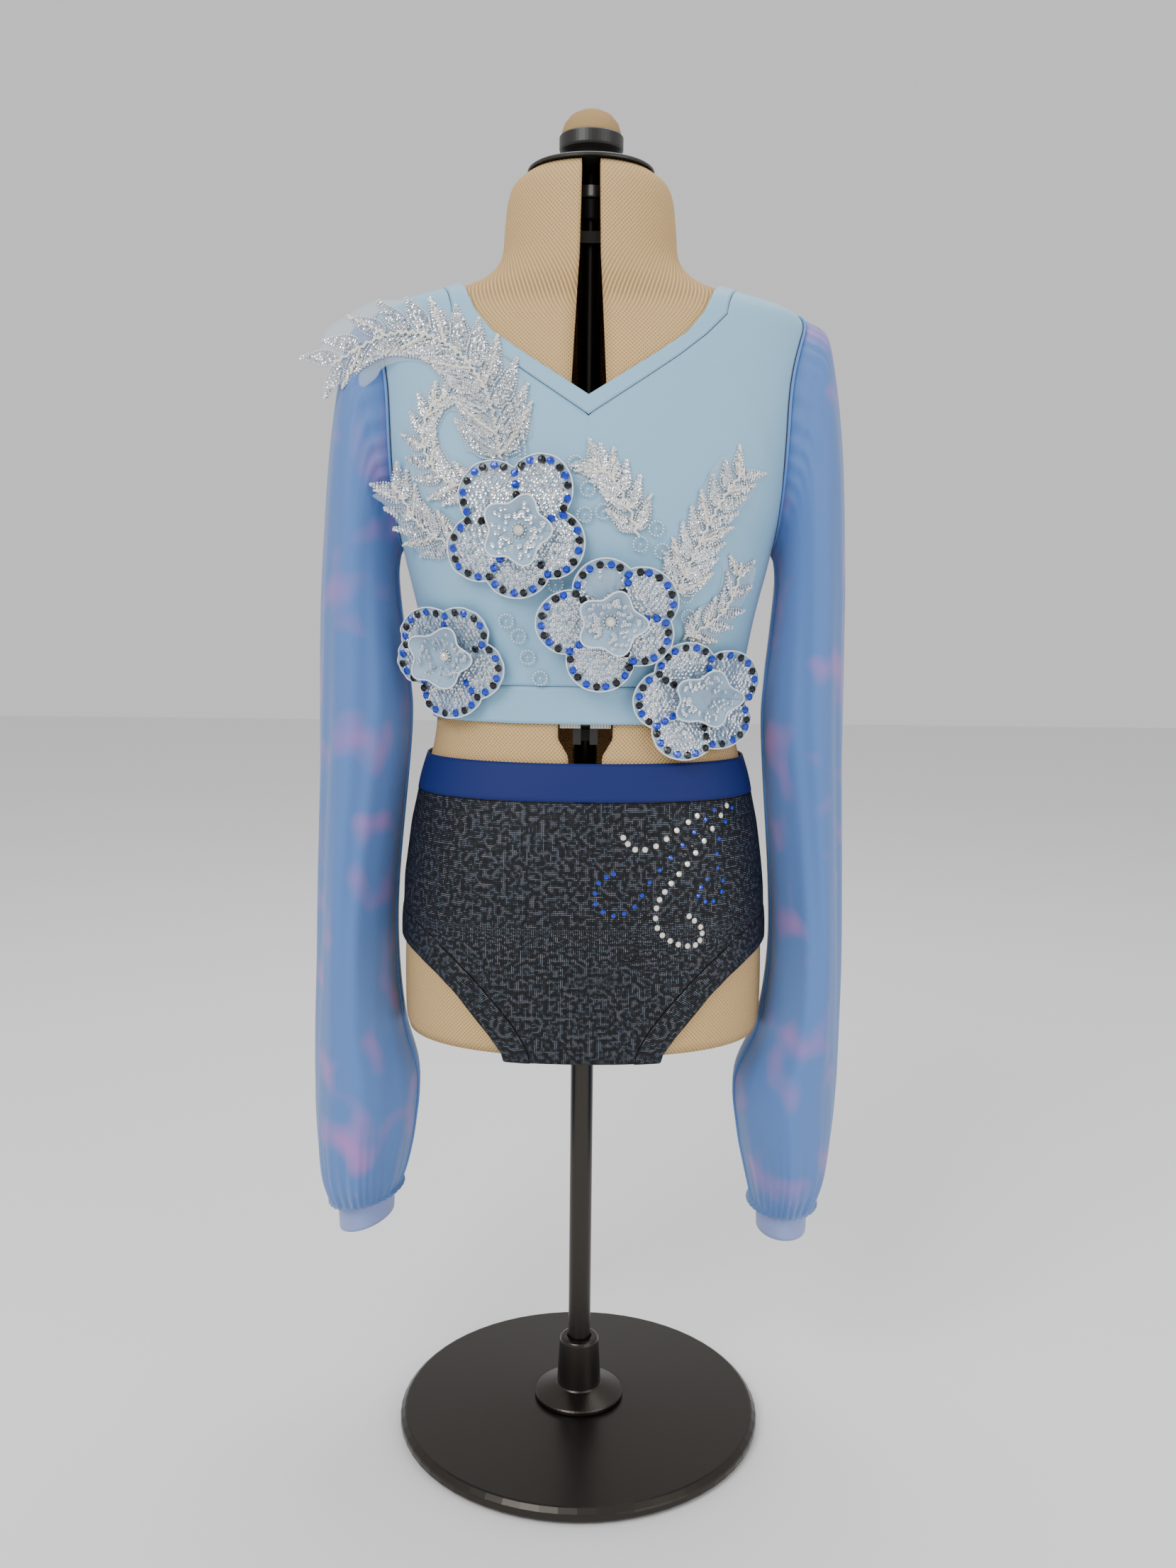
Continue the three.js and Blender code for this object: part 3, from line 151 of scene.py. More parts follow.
def addMesh(name, points, faces, material, slot, replaces=(), wall=None, uv=None, away=(0, 0), smooth=True, weld=False,
            flat=False):
    # a mesh from points in mm and faces. A sheet's normals point away from an upright axis or along a direction;
    # a piece without a wall is closed, and its normals point out of its volume
    points = np.asarray(points, float).reshape(-1, 3)
    faces = np.asarray(faces)
    a, b, c = (points[faces[:, k]] for k in (0, 1, 2))
    normals = np.cross(b - a, c - b)
    out = (a + c) / 2 - np.array([away[0], away[1], 0]) if len(away) == 2 else np.broadcast_to(away, a.shape)
    if len(away) == 2:
        out = out * (1, 1, 0)
    closed = wall is None and not flat
    if closed:
        d = points[faces[:, -1]]
        turned = (a * np.cross(b, c)).sum() + (a * np.cross(c, d)).sum()
    else:
        turned = np.einsum("ij,ij->", normals, out)
    if turned < 0:
        faces = faces[:, ::-1]
    mesh = bpy.data.meshes.new(name)
    mesh.from_pydata((points / 1000).tolist(), [], faces.tolist())
    if uv is not None:
        layer = mesh.uv_layers.new(name="cut")
        index = np.empty(len(mesh.loops), int)
        mesh.loops.foreach_get("vertex_index", index)
        layer.data.foreach_set("uv", np.asarray(uv, float).reshape(-1, 2)[index].ravel())
    if closed or weld:
        work = bmesh.new()
        work.from_mesh(mesh)
        bmesh.ops.remove_doubles(work, verts=work.verts, dist=2e-6)
        work.to_mesh(mesh)
        work.free()
    mesh.polygons.foreach_set("use_smooth", np.full(len(mesh.polygons), smooth))
    mesh.update()
    piece = bpy.data.objects.new(name, mesh)
    bpy.context.scene.collection.objects.link(piece)
    mesh.materials.append(material)
    if wall:
        thick = piece.modifiers.new("wall", "SOLIDIFY")
        thick.thickness = wall / 1000
        thick.offset = -1
    if replaces:
        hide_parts(*replaces)
    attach(piece, "root")
    return piece


def addSheet(name, grid, material, slot, node, wall, around=False, **options):  # a grid of points with its own walls
    faces = gridFaces(*grid.shape[:2], around)
    return addMesh(name, grid, faces, material, slot, [node], wall, runs(grid), **options)


def mirrored(halves):  # two grids, left and right, as one set of points and faces
    faces = gridFaces(*halves[0].shape[:2])
    points = np.concatenate([half.reshape(-1, 3) for half in halves])
    return points, np.concatenate([faces[:, ::-1], faces + len(points) // 2])


def spread(shape, faces, at, xAxis, yAxis, size=1):
    # copies of a small shape: each is placed at a point and turned to its own axes
    zAxis = np.cross(xAxis, yAxis)
    basis = np.stack([xAxis, yAxis, zAxis], 1)
    size = np.broadcast_to(np.asarray(size, float), (len(at),))
    points = np.einsum("vk,nkc->nvc", shape, basis) * size[:, None, None] + at[:, None]
    count = len(shape)
    return points.reshape(-1, 3), (faces[None] + np.arange(len(at))[:, None, None] * count).reshape(-1, faces.shape[1])


def facing(x, z, lift, place=clothPoint):
    # points on the front with two axes in the surface and one out of it, by small steps in x and z
    at = place(x, z, lift)
    xAxis = unit(place(x + 0.5, z, lift) - place(x - 0.5, z, lift))
    normal = unit(np.cross(xAxis, place(x, z + 0.5, lift) - place(x, z - 0.5, lift)))
    return at, xAxis, np.cross(normal, xAxis)


def scatter(name, shape, material, slot, spots, lift, size=1, place=clothPoint, **options):
    # copies of a small shape on the cloth, at rows of x, z
    at, xAxis, yAxis = facing(*spots.T, lift, place)
    return addMesh(name, *spread(*shape, at, xAxis, yAxis, size), material, slot, **options)


def sewSequins(name, at, xAxis, yAxis, tilt, smallest, largest):  # ring sequins, each tilted a little its own way
    xAxis = unit(xAxis + rng.normal(0, tilt, xAxis.shape))
    points, faces = spread(*sequinShape, at, xAxis, yAxis, rng.uniform(smallest, largest, len(at)))
    addMesh(name, points, faces, silver, "applique", smooth=False)


def ringShape(outer, inner, sides=6):  # a flat ring with a dished face
    turn = np.arange(sides) * 2 * pi / sides
    circle = np.stack([np.cos(turn), np.sin(turn), 0 * turn], -1)
    points = np.concatenate([circle * outer, circle * inner + (0, 0, -0.18), circle * outer + (0, 0, 0.12)])
    k = np.arange(sides)
    n = (k + 1) % sides
    faces = np.concatenate([np.stack([k + a, n + a, n + b, k + b], -1)
                            for a, b in ((2 * sides, sides), (sides, 0), (0, 2 * sides))])
    return points, faces


def latheShape(profile, sides):  # a profile of radius and height turned round its axis
    turn = np.arange(sides) * 2 * pi / sides
    r, h = np.array(profile, float).T
    points = np.stack([r[:, None] * np.cos(turn), r[:, None] * np.sin(turn), h[:, None] + 0 * turn], -1)
    return points.reshape(-1, 3), gridFaces(len(r), sides, True)


# Small shapes: a cut stone and a bead of radius 1, a bugle bead, a ring sequin and a domed stone (mm).
stoneShape = latheShape([(0, 0), (1, 0), (1, 0.25), (0.55, 0.62), (0, 0.66)], 8)
beadShape = latheShape([(0, -1), (0.7, -0.7), (1, 0), (0.7, 0.7), (0, 1)], 6)
bugleShape = latheShape([(0, -3), (1, -2.8), (1, 2.8), (0, 3)], 7)
sequinShape = ringShape(1.5, 0.45)
domeShape = latheShape([(0, 0), (3.6, 0), (3.6, 1.2), (2.9, 2.4), (2.0, 3.2), (0, 3.3)], 12)


def tube(points, radius, sides=6, closed=False):  # a round cord along a line of points
    points = np.asarray(points, float)
    along = np.roll(points, -1, 0) - np.roll(points, 1, 0) if closed else np.gradient(points, axis=0)
    along /= np.linalg.norm(along, axis=-1, keepdims=True) + 1e-9
    side = unit(np.cross(along, (0.13, -0.98, 0.11)))
    other = np.cross(along, side)
    turn = np.arange(sides) * 2 * pi / sides
    ring = points[:, None] + radius * (side[:, None] * np.cos(turn)[:, None] + other[:, None] * np.sin(turn)[:, None])
    faces = gridFaces(len(points), sides, True)
    if closed:
        k, n = np.arange(sides), (np.arange(sides) + 1) % sides
        last = (len(points) - 1) * sides
        faces = np.concatenate([faces, np.stack([last + k, last + n, n, k], -1)])
    return ring.reshape(-1, 3), faces


def addCord(name, line, radius, material, slot, closed=False):
    addMesh(name, *tube(line, radius, 6, closed), material, slot)


def stitches(line, material, name, slot, pitch=2.6, length=1.9, radius=0.16):
    # a row of short threads laid along a line on the cloth
    line = np.asarray(line, float)
    far = np.concatenate([[0], np.cumsum(np.linalg.norm(np.diff(line, axis=0), axis=-1))])
    start = np.arange(0.5, far[-1] - length, pitch)
    ends = [np.stack([np.interp(start + d, far, line[:, k]) for k in range(3)], -1) for d in (0, length)]
    along = unit(ends[1] - ends[0])
    side = unit(np.cross(along, (0, 0, 1.0)) + 1e-6)
    shape, faces = latheShape([(0, -1), (1, -0.8), (1, 0.8), (0, 1)], 5)
    shape = shape * (radius, radius, length / 2)
    points, faces = spread(shape, faces, (ends[0] + ends[1]) / 2, side, np.cross(along, side))
    return addMesh(name, points, faces, material, slot)


# ---- materials


def newMaterial(name, color, roughness=0.6, metallic=0, **sockets):
    material = bpy.data.materials.new(name)
    material.use_nodes = True
    shader = material.node_tree.nodes["Principled BSDF"]
    shader.inputs["Base Color"].default_value = (*color, 1)
    shader.inputs["Roughness"].default_value = roughness
    shader.inputs["Metallic"].default_value = metallic
    for key, value in sockets.items():
        shader.inputs[key.replace("_", " ")].default_value = value
    return material


def addNode(material, kind, **values):  # a shader node, with some of its sockets set
    node = material.node_tree.nodes.new("ShaderNode" + kind)
    for key, value in values.items():
        node.inputs[key].default_value = value
    return node


def mixColor(material, factor, low):  # the surface's colour as a mix from low, by a factor, to its socket B
    mix = addNode(material, "Mix")
    mix.data_type = "RGBA"
    mix.inputs["A"].default_value = low
    material.node_tree.links.new(factor, mix.inputs["Factor"])
    shader = material.node_tree.nodes["Principled BSDF"]
    material.node_tree.links.new(mix.outputs["Result"], shader.inputs["Base Color"])
    return mix


def weave(material, pitch, depth, color, hollowShade):
    # a knit: two crossed wave bands give a bump, and painted shade darkens the colour in the hollows between the loops
    link = material.node_tree.links.new
    shader = material.node_tree.nodes["Principled BSDF"]
    place = addNode(material, "TexCoord")
    mapping = addNode(material, "Mapping", Scale=(1 / pitch,) * 3, Rotation=(0, 0, radians(45)))
    link(place.outputs["UV"], mapping.inputs["Vector"])
    joined = addNode(material, "Math")
    joined.operation = "MAXIMUM"
    for k, axis in enumerate("XY"):
        wave = addNode(material, "TexWave", Scale=0.3142, Distortion=0.3)
        wave.bands_direction = axis
        link(mapping.outputs["Vector"], wave.inputs["Vector"])
        link(wave.outputs["Fac"], joined.inputs[k])
    bump = addNode(material, "Bump", Strength=1, Distance=depth / 1000)
    link(joined.outputs[0], bump.inputs["Height"])
    link(bump.outputs["Normal"], shader.inputs["Normal"])
    # painted shade: the colour is darkened in the knit's hollows by the given share
    mix = mixColor(material, joined.outputs[0], (*[c * hollowShade for c in color], 1))
    mix.inputs["B"].default_value = (*color, 1)
    return material


def meshCloth(material, alpha, lightFromBehind, lightFromBehindScale=26):
    # a sheer knit: partly see-through, with soft patches of painted pink light from behind, as if seen through the mesh
    link = material.node_tree.links.new
    shader = material.node_tree.nodes["Principled BSDF"]
    shader.inputs["Alpha"].default_value = alpha
    noise = addNode(material, "TexNoise", Scale=lightFromBehindScale, Detail=1)
    link(addNode(material, "TexCoord").outputs["Object"], noise.inputs["Vector"])
    ramp = addNode(material, "ValToRGB")
    low, high = ramp.color_ramp.elements
    low.position, low.color = 0.54, shader.inputs["Base Color"].default_value
    # painted light: pink patches that stand for light from behind showing through the mesh
    high.position, high.color = 0.84, (*lightFromBehind, 1)
    link(noise.outputs["Fac"], ramp.inputs["Fac"])
    link(ramp.outputs["Color"], shader.inputs["Base Color"])
    return material


# painted glints: the foil dots' colours by noise, from dots painted as catching no light to bright silver and rainbow
# highlights
paintedGlints = [(0.4, (0.03, 0.03, 0.035)), (0.5, (0.12, 0.12, 0.13)), (0.57, (0.5, 0.75, 0.95)), (0.64, (0.95, 0.75, 0.9)),
          (0.72, (0.95, 0.92, 0.6))]


def foilDots(material, pitch, size):
    # a grid of round foil dots in the cut's own coordinates; their colours are painted glints, dark in places where no
    # light is caught and bright or rainbow-coloured in others
    link = material.node_tree.links.new
    shader = material.node_tree.nodes["Principled BSDF"]
    place = addNode(material, "TexCoord").outputs["UV"]
    cells = addNode(material, "TexVoronoi", Scale=1 / pitch, Randomness=0)
    link(place, cells.inputs["Vector"])
    spot = addNode(material, "Math")
    spot.operation = "LESS_THAN"
    spot.inputs[1].default_value = size / pitch
    link(cells.outputs["Distance"], spot.inputs[0])
    glintNoise = addNode(material, "TexNoise", Scale=0.3, Detail=3)
    link(place, glintNoise.inputs["Vector"])
    ramp = addNode(material, "ValToRGB")
    while len(ramp.color_ramp.elements) < len(paintedGlints):
        ramp.color_ramp.elements.new(0.5)
    for element, (position, color) in zip(ramp.color_ramp.elements, paintedGlints):
        element.position, element.color = position, (*color, 1)
    link(glintNoise.outputs["Fac"], ramp.inputs["Fac"])
    mix = mixColor(material, spot.outputs[0], shader.inputs["Base Color"].default_value)
    link(ramp.outputs["Color"], mix.inputs["B"])
    link(spot.outputs[0], shader.inputs["Metallic"])
    return material


skyColor, sheerColor, cuffColor = (0.27, 0.50, 0.68), (0.10, 0.23, 0.58), (0.25, 0.32, 0.62)
navyColor, tulleColor = (0.008, 0.018, 0.13), (0.42, 0.60, 0.78)
# the last number of each weave sets how dark the painted shade in the knit's hollows is
sky = weave(newMaterial("skyKnit", skyColor, 0.55, Sheen_Weight=0.25, Sheen_Roughness=0.4), 0.7, 0.05, skyColor, 0.9)
# the sheer knit's pink patches are painted light from behind, not its own colour
sheer = meshCloth(newMaterial("sheerKnit", sheerColor, 0.6, Sheen_Weight=0.3), 0.72, (0.52, 0.22, 0.6))
overlock = newMaterial("overlock", (0.10, 0.24, 0.56), 0.7)
cuffKnit = weave(newMaterial("cuffKnit", cuffColor, 0.65, Sheen_Weight=0.2), 1.1, 0.1, cuffColor, 0.8)
navy = weave(newMaterial("navyKnit", navyColor, 0.6, Specular_IOR_Level=0.25), 0.8, 0.08, navyColor, 0.8)
foil = foilDots(newMaterial("foilKnit", (0.006, 0.006, 0.008), 0.62, Specular_IOR_Level=0.2), 1.25, 0.2)
cover = weave(newMaterial("formCover", (0.64, 0.42, 0.19), 0.95, Specular_IOR_Level=0.15), 2.0, 0.5,
              (0.68, 0.45, 0.21), 0.55)
plastic = newMaterial("blackPlastic", (0.012, 0.011, 0.01), 0.38)
polish = newMaterial("ringSteel", (0.42, 0.41, 0.4), 0.3, 1)
gunmetal = newMaterial("poleSteel", (0.045, 0.04, 0.035), 0.3, 0.9)
scale = newMaterial("scalePlastic", (0.72, 0.67, 0.58), 0.5)
ink = newMaterial("ink", (0.01, 0.01, 0.01), 0.6)
thread = newMaterial("thread", (0.72, 0.78, 0.84), 0.6)
tulle = weave(newMaterial("tulle", tulleColor, 0.6, 0, Alpha=0.9), 1.2, 0.15, tulleColor, 0.6)
net = newMaterial("net", (0.62, 0.74, 0.85), 0.6, 0, Alpha=0.22)
whiteCord = newMaterial("whiteCord", (0.8, 0.82, 0.84), 0.55)
silver = newMaterial("sequin", (0.78, 0.8, 0.83), 0.16, 0.85)
silverBead = newMaterial("silverBead", (0.74, 0.76, 0.78), 0.2, 0.6)
bugle = newMaterial("bugleBead", (0.82, 0.78, 0.7), 0.22, 0, Coat_Weight=0.6)
cobalt = newMaterial("cobaltStone", (0.003, 0.035, 0.5), 0.1, 0.3, Coat_Weight=0.4)
jet = newMaterial("jetStone", (0.003, 0.003, 0.005), 0.12, 0, Coat_Weight=0.25, Specular_IOR_Level=0.35)
clear = newMaterial("clearStone", (0.8, 0.76, 0.66), 0.05, 0.3, Coat_Weight=1.0)
print("materials ready")

# ---- the dress form
form = {"hem": 318, "top": 925, "wall": 5, "backGap": 7, "sideGap": 1.2}
frontGap = np.array([(318, 11.7), (524, 11.7), (536, 19), (572, 19), (584, 12.5), (760, 12.2), (860, 7.5), (925, 6.4)])


def formPanel(side, behind):  # one shell of the form, from the middle gap to the side gap at each level
    z = np.concatenate([np.linspace(form["hem"], 520, 30), np.linspace(522, 600, 30), np.linspace(606, 815, 34),
                        np.linspace(818, 870, 26), np.linspace(873, form["top"], 16)])
    middle = np.full(z.shape, form["backGap"]) if behind else np.interp(z, *frontGap.T)
    start, end = angleAtX(z, middle), angleAtY(z, form["sideGap"], behind)
    angle = start[:, None] + (end - start)[:, None] * np.linspace(0, 1, 34)
    angle = pi - angle if behind else angle
    return skin(placeOf(z)[:, None], side * angle, 0.0)


for side, word in ((-1, "left"), (1, "right")):
    for behind, where in ((False, "front"), (True, "back")):
        addSheet(f"formPanel{where.title()}{word.title()}", formPanel(side, behind), cover, "form_cover",
                 f"form_{where}_{word}", form["wall"])


def rounded(corners, bevel=0.8):  # a profile whose corners are cut back
    corners = np.array(corners, float)
    out = [corners[0]]
    for a, b, c in zip(corners[:-2], corners[1:-1], corners[2:]):
        for d in (a, c):
            far = np.linalg.norm(d - b)
            out.append(b + (d - b) * min(bevel / max(far, 1e-6), 0.4))
    return np.array([*out, corners[-1]])


standParts = {
    "neckCap": ("neck_cap", plastic, "black_plastic", [(0, 925.3), (44, 925.3), (45, 926), (44, 928.4), (0, 929)]),
    "neckKnob": ("neck_knob", plastic, "black_plastic", [(0, 929.3), (15.5, 929.3), (15.5, 933), (18.5, 938),
                 (22.5, 941.5), (22.5, 951), (20.8, 951), (20.8, 947), (0, 947)]),
    "pinCushion": ("pin_cushion", cover, "form_cover", [(0, 947.3), (20.4, 947.3), (20.9, 953), (19, 959),
                   (14.5, 964.5), (8, 967.8), (0, 968.6)]),
    "collarRing": ("collar_ring", polish, "ring_steel", [(8.8, 907.3), (15, 907.3), (15, 915.9), (8.8, 915.9),
                   (8.8, 907.3)]),
    "neckCollar": ("neck_collar", plastic, "black_plastic", [(8.8, 893), (13, 893), (13, 907), (8.8, 907), (8.8, 893)]),
    "pole": ("pole", gunmetal, "pole_steel", [(0, 16.3), (8.5, 16.3), (8.5, 925), (0, 925)]),
    "baseHub": ("base_hub", gunmetal, "pole_steel", [(8.8, 16.3), (34, 16.3), (34, 20), (17, 26), (15, 62), (13.5, 64),
                (8.8, 64), (8.8, 16.3)]),
    "baseDisc": ("base_disc", gunmetal, "pole_steel", [(0, 0), (134, 0), (138, 3), (138, 8), (134, 12), (40, 16),
                 (0, 16)]),
}
for name, (node, material, slot, profile) in standParts.items():
    points, faces = latheShape(rounded(profile), 64)
    piece = addMesh(name, points, faces, material, slot, [node], smooth=node == "pin_cushion")
    piece.data.validate()
for node, material in (("panel_holder_neck", gunmetal), ("panel_holder_waist", gunmetal),
                       ("panel_holder_hip", gunmetal), ("waist_dial", gunmetal), ("dial_fork", plastic),
                       ("dial_scale_left", scale), ("dial_scale_right", scale)):
    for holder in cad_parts[node].material_slots:
        holder.material = material
print("dress form built")

# ---- the bodice
frontNeck = np.array([(748.5, 0, 0), (762, 20, 0), (775, 39, 20), (790, 60, 43), (805, 78, 64), (820, 92, 76),
                      (829, 99, 80)])
# Soft creases pulled in the cloth: from x, z to x, z, width, depth (mm); positive stands out.
bodiceCreases = np.array([
    (122, 690, 92, 742, 9, 1.3), (126, 706, 104, 768, 7, 1.0), (118, 676, 76, 716, 8, -0.9),
    (112, 650, 70, 672, 9, 0.8), (-122, 690, -100, 736, 8, 0.9), (-116, 668, -82, 690, 8, -0.7),
    (98, 792, 66, 780, 6, 0.5), (-30, 700, -66, 640, 12, 0.5), (34, 700, 74, 640, 12, 0.6),
    (100, 628, 60, 606, 8, 0.6), (-104, 632, -60, 612, 9, 0.5), (18, 590, -40, 584, 7, 0.5)])
backCreases = np.array([
    (0, 612, 70, 600, 9, 1.1), (-8, 628, -78, 616, 9, 1.0), (10, 650, 60, 640, 8, -0.8), (120, 700, 84, 748, 9, 1.2),
    (-120, 698, -86, 744, 9, 1.1), (-112, 664, -70, 690, 8, -0.8), (112, 668, 66, 690, 8, 0.8),
    (0, 780, 0, 700, 12, 0.6)])


def creased(x, z, creases):  # the sum of soft ridges: each falls off across its width and towards its ends
    lift = np.zeros(np.broadcast(x, z).shape)
    for x0, z0, x1, z1, width, depth in creases:
        along = np.array([x1 - x0, z1 - z0])
        t = ((x - x0) * along[0] + (z - z0) * along[1]) / (along @ along)
        off = ((x - x0) * along[1] - (z - z0) * along[0]) / np.linalg.norm(along) + 3 * np.sin(2.2 * t)
        lift += depth * np.exp(-(off / width) ** 2) * np.exp(-((t - 0.4) / 0.5) ** 4)
    return lift


def armDepth(z):  # half the armhole's depth at a level: an upright oval
    return cut["armDepth"] * np.sqrt(np.clip(1 - ((z - cut["armMiddle"]) / cut["armHalf"]) ** 2, 0, 1))


def planHalf(behind, depth):  # the neckline's half width at a depth from the shoulder seam
    if behind:
        n = cut["neckSquare"]
        return cut["neckHalf"] * np.clip(1 - (depth / cut["neckBackDepth"]) ** n, 0, 1) ** (1 / n)
    return cut["neckHalf"] + (cut["neckFrontHalf"] - cut["neckHalf"]) * (depth / cut["neckFrontDepth"]) ** 2


def bodiceGrid(side, behind, columns=60):
    # rows up to where the neckline meets the shoulder, then rows through points spaced along the neckline
    top = cut["backDip"] if behind else cut["neckFrom"]
    low = np.concatenate([np.linspace(cut["hemTop"] + cut["gap"], 666, 34), np.linspace(668, top, 60)])
    depth = (cut["neckBackDepth"] if behind else cut["neckFrontDepth"]) * np.cos(np.linspace(0.1, pi / 2, 26))
    depth[-1] = 0.15
    high = shoulderPoint(planHalf(behind, depth), depth if behind else -depth, 0.0)[:, 2]
    z = np.maximum.accumulate(np.concatenate([low, high]))
    neck = np.concatenate([0 * low if behind else np.interp(low, frontNeck[:, 0], frontNeck[:, 1]),
                           planHalf(behind, depth)])
    end = angleAtY(z, np.maximum(armDepth(z), 0.15), behind)
    start = np.minimum(angleAtX(z, neck), end)
    angle = start[:, None] + (end - start)[:, None] * np.linspace(0, 1, columns)
    place = placeOf(z)[:, None]
    flat = skin(place, angle, 0.0)
    lift = cut["ease"] + cut["cloth"] + np.clip(creased(side * flat[..., 0], flat[..., 2],
                                                        backCreases if behind else bodiceCreases), -0.5, 2)
    return skin(place, side * (pi - angle if behind else angle), lift)


for behind, word in ((False, "front"), (True, "back")):
    points, faces = mirrored([bodiceGrid(side, behind) for side in (-1, 1)])
    piece = addMesh("bodice" + word.title(), points, faces, sky, "bodice_cloth", ["bodice_" + word], cut["cloth"],
                    points[:, [0, 2]], weld=True)


def bindingGrid(side, behind):
    # stations along the neckline, each a short line from the seam to the binding's free edge
    across = np.linspace(0, 1, 7)
    rows = []
    if not behind:
        z = np.linspace(748.5, 820, 40)
        freeZ = np.minimum(z + np.interp(z, (748.5, 820), (13.5, 8)), 829)
        seamX = np.maximum(np.interp(z, frontNeck[:, 0], frontNeck[:, 1]) - 0.3, 1e-4)
        freeX = np.maximum(np.interp(freeZ, frontNeck[:, 0], frontNeck[:, 2]), 1e-4)
        x = seamX[:, None] + (freeX - seamX)[:, None] * across
        level = (z + 0.45)[:, None] + (freeZ - z - 0.45)[:, None] * across
        rows.append(skinAtX(side * x, level, cut["ease"] + cut["band"]))
    turn = np.linspace(0, pi / 2, 34)[0 if behind else 2:]
    depth = (cut["neckBackDepth"] if behind else cut["neckFrontDepth"]) * np.cos(turn)
    depth[-1] = 0.15
    half = planHalf(behind, depth)
    seamX = np.maximum(half - 0.45, 1e-4)
    seamY = np.maximum(depth - (0.45 if behind else 0), 0.15)
    width = 11.5 * (half / cut["neckHalf"] if behind else 1)
    freeX = np.maximum(half - width, 1e-4)
    freeY = seamY * ((cut["neckBackDepth"] - 6) / cut["neckBackDepth"] if behind else 0.98)
    x = seamX[:, None] + (freeX - seamX)[:, None] * across
    y = seamY[:, None] + (freeY - seamY)[:, None] * across
    rows.append(shoulderPoint(side * x, y if behind else -y, cut["ease"] + cut["band"]))
    grid = np.concatenate(rows)
    grid[..., 1] = np.maximum(grid[..., 1], 0.15) if behind else np.minimum(grid[..., 1], -0.15)
    return grid


for behind, word in ((False, "front"), (True, "back")):
    halves = [bindingGrid(side, behind) for side in (-1, 1)]
    for half in halves:
        half[0, :, 0] = 0
    points, faces = mirrored(halves)
    piece = addMesh("neckBinding" + word.title(), points, faces, sky, "binding_cloth", ["neck_binding_" + word],
                    cut["band"], points[:, [0, 2]], away=(0, -400 if behind else 400), weld=True)
    seam = np.concatenate([halves[0][::-1, 1], halves[1][1:, 1]]) + (0, -0.25 if not behind else 0.25, 0.1)
    stitches(seam, thread, "bindingStitch" + word.title(), "binding_cloth", 2.4)


def ringGrid(low, high, lift, rows=10, columns=150):  # a band all round the form between two levels
    z = np.linspace(low, high, rows)
    angle = np.linspace(-pi, pi, columns, endpoint=False)
    return skin(placeOf(z)[:, None], angle[None], lift)


def bandAround(name, low, high, material, slot, node):
    grid = ringGrid(low, high, cut["ease"] + cut["band"])
    soft = np.sin(np.linspace(0, pi, len(grid)))[:, None, None] * 0.25
    grid = grid + soft * unit(grid * (1, 1, 0))
    piece = addSheet(name, grid, material, slot, node, cut["band"], True)


bandAround("hemBand", cut["hem"], cut["hemTop"], sky, "bodice_cloth", "hem_band")
bandAround("waistbandCloth", cut["waistFoot"], cut["waistTop"], navy, "waistband_cloth", "waistband")
hemLine = cut["hem"] + 21.5
stitches(ringGrid(hemLine, hemLine + 1, cut["ease"] + cut["band"] + 0.35, 2, 300)[0], thread, "hemStitch",
         "bodice_cloth", 3.2, 2.2, 0.1)
print("bodice built")

# ---- the sleeves, rows of inner x, inner z, outer x, outer z, half depth, fullness (mm)
sleeveRows = {
    1: np.array([(134, 662, 162, 823, 48, 0), (136, 656, 171, 808, 51, 0.1), (137, 638, 181, 742, 56, 0.35),
                 (134, 604, 186, 652, 57, 0.6), (131, 572, 187, 596, 57, 0.75), (130, 532, 188, 540, 57, 0.85),
                 (138, 425, 190, 425, 58, 1), (139, 368, 191, 368, 59, 1), (132, 316, 191, 316, 60, 1),
                 (116, 276, 191, 276, 61, 1), (119, 236, 189, 236, 59, 1), (126, 202, 184, 202, 52, 1),
                 (131, 180, 177, 180, 42, 0.8)], float),
    -1: np.array([(134, 664, 164, 822, 48, 0), (136, 658, 173, 804, 51, 0.1), (137, 640, 184, 738, 56, 0.35),
                  (133, 604, 191, 648, 57, 0.6), (129, 572, 193, 594, 57, 0.75), (128, 532, 194, 540, 57, 0.85),
                  (138, 425, 196, 425, 58, 1), (139, 368, 197, 368, 59, 1), (134, 316, 199, 316, 60, 1),
                  (124, 276, 200, 276, 61, 1), (127, 236, 200, 240, 59, 1), (133, 206, 197, 202, 52, 1),
                  (139, 188, 191, 180, 42, 0.8)], float),
}
cuffs = {1: {"x": 154, "z": 184, "half": 19, "depth": 29, "height": 28, "tilt": 0},
         -1: {"x": 164, "z": 189, "half": 21, "depth": 29, "height": 28, "tilt": 12}}
sleeveLook = {"spokes": 168, "steps": 7, "foldDepth": 3.2, "gatherDepth": 1.1, "blouse": 9}


def cuffRing(cuff, side, below, grow, turn):
    across = -np.cos(turn)
    return np.stack([side * (cuff["x"] + across * (cuff["half"] + grow)), -np.sin(turn) * (cuff["depth"] + grow),
                     cuff["z"] - below - cuff["tilt"] * across / 2], -1)


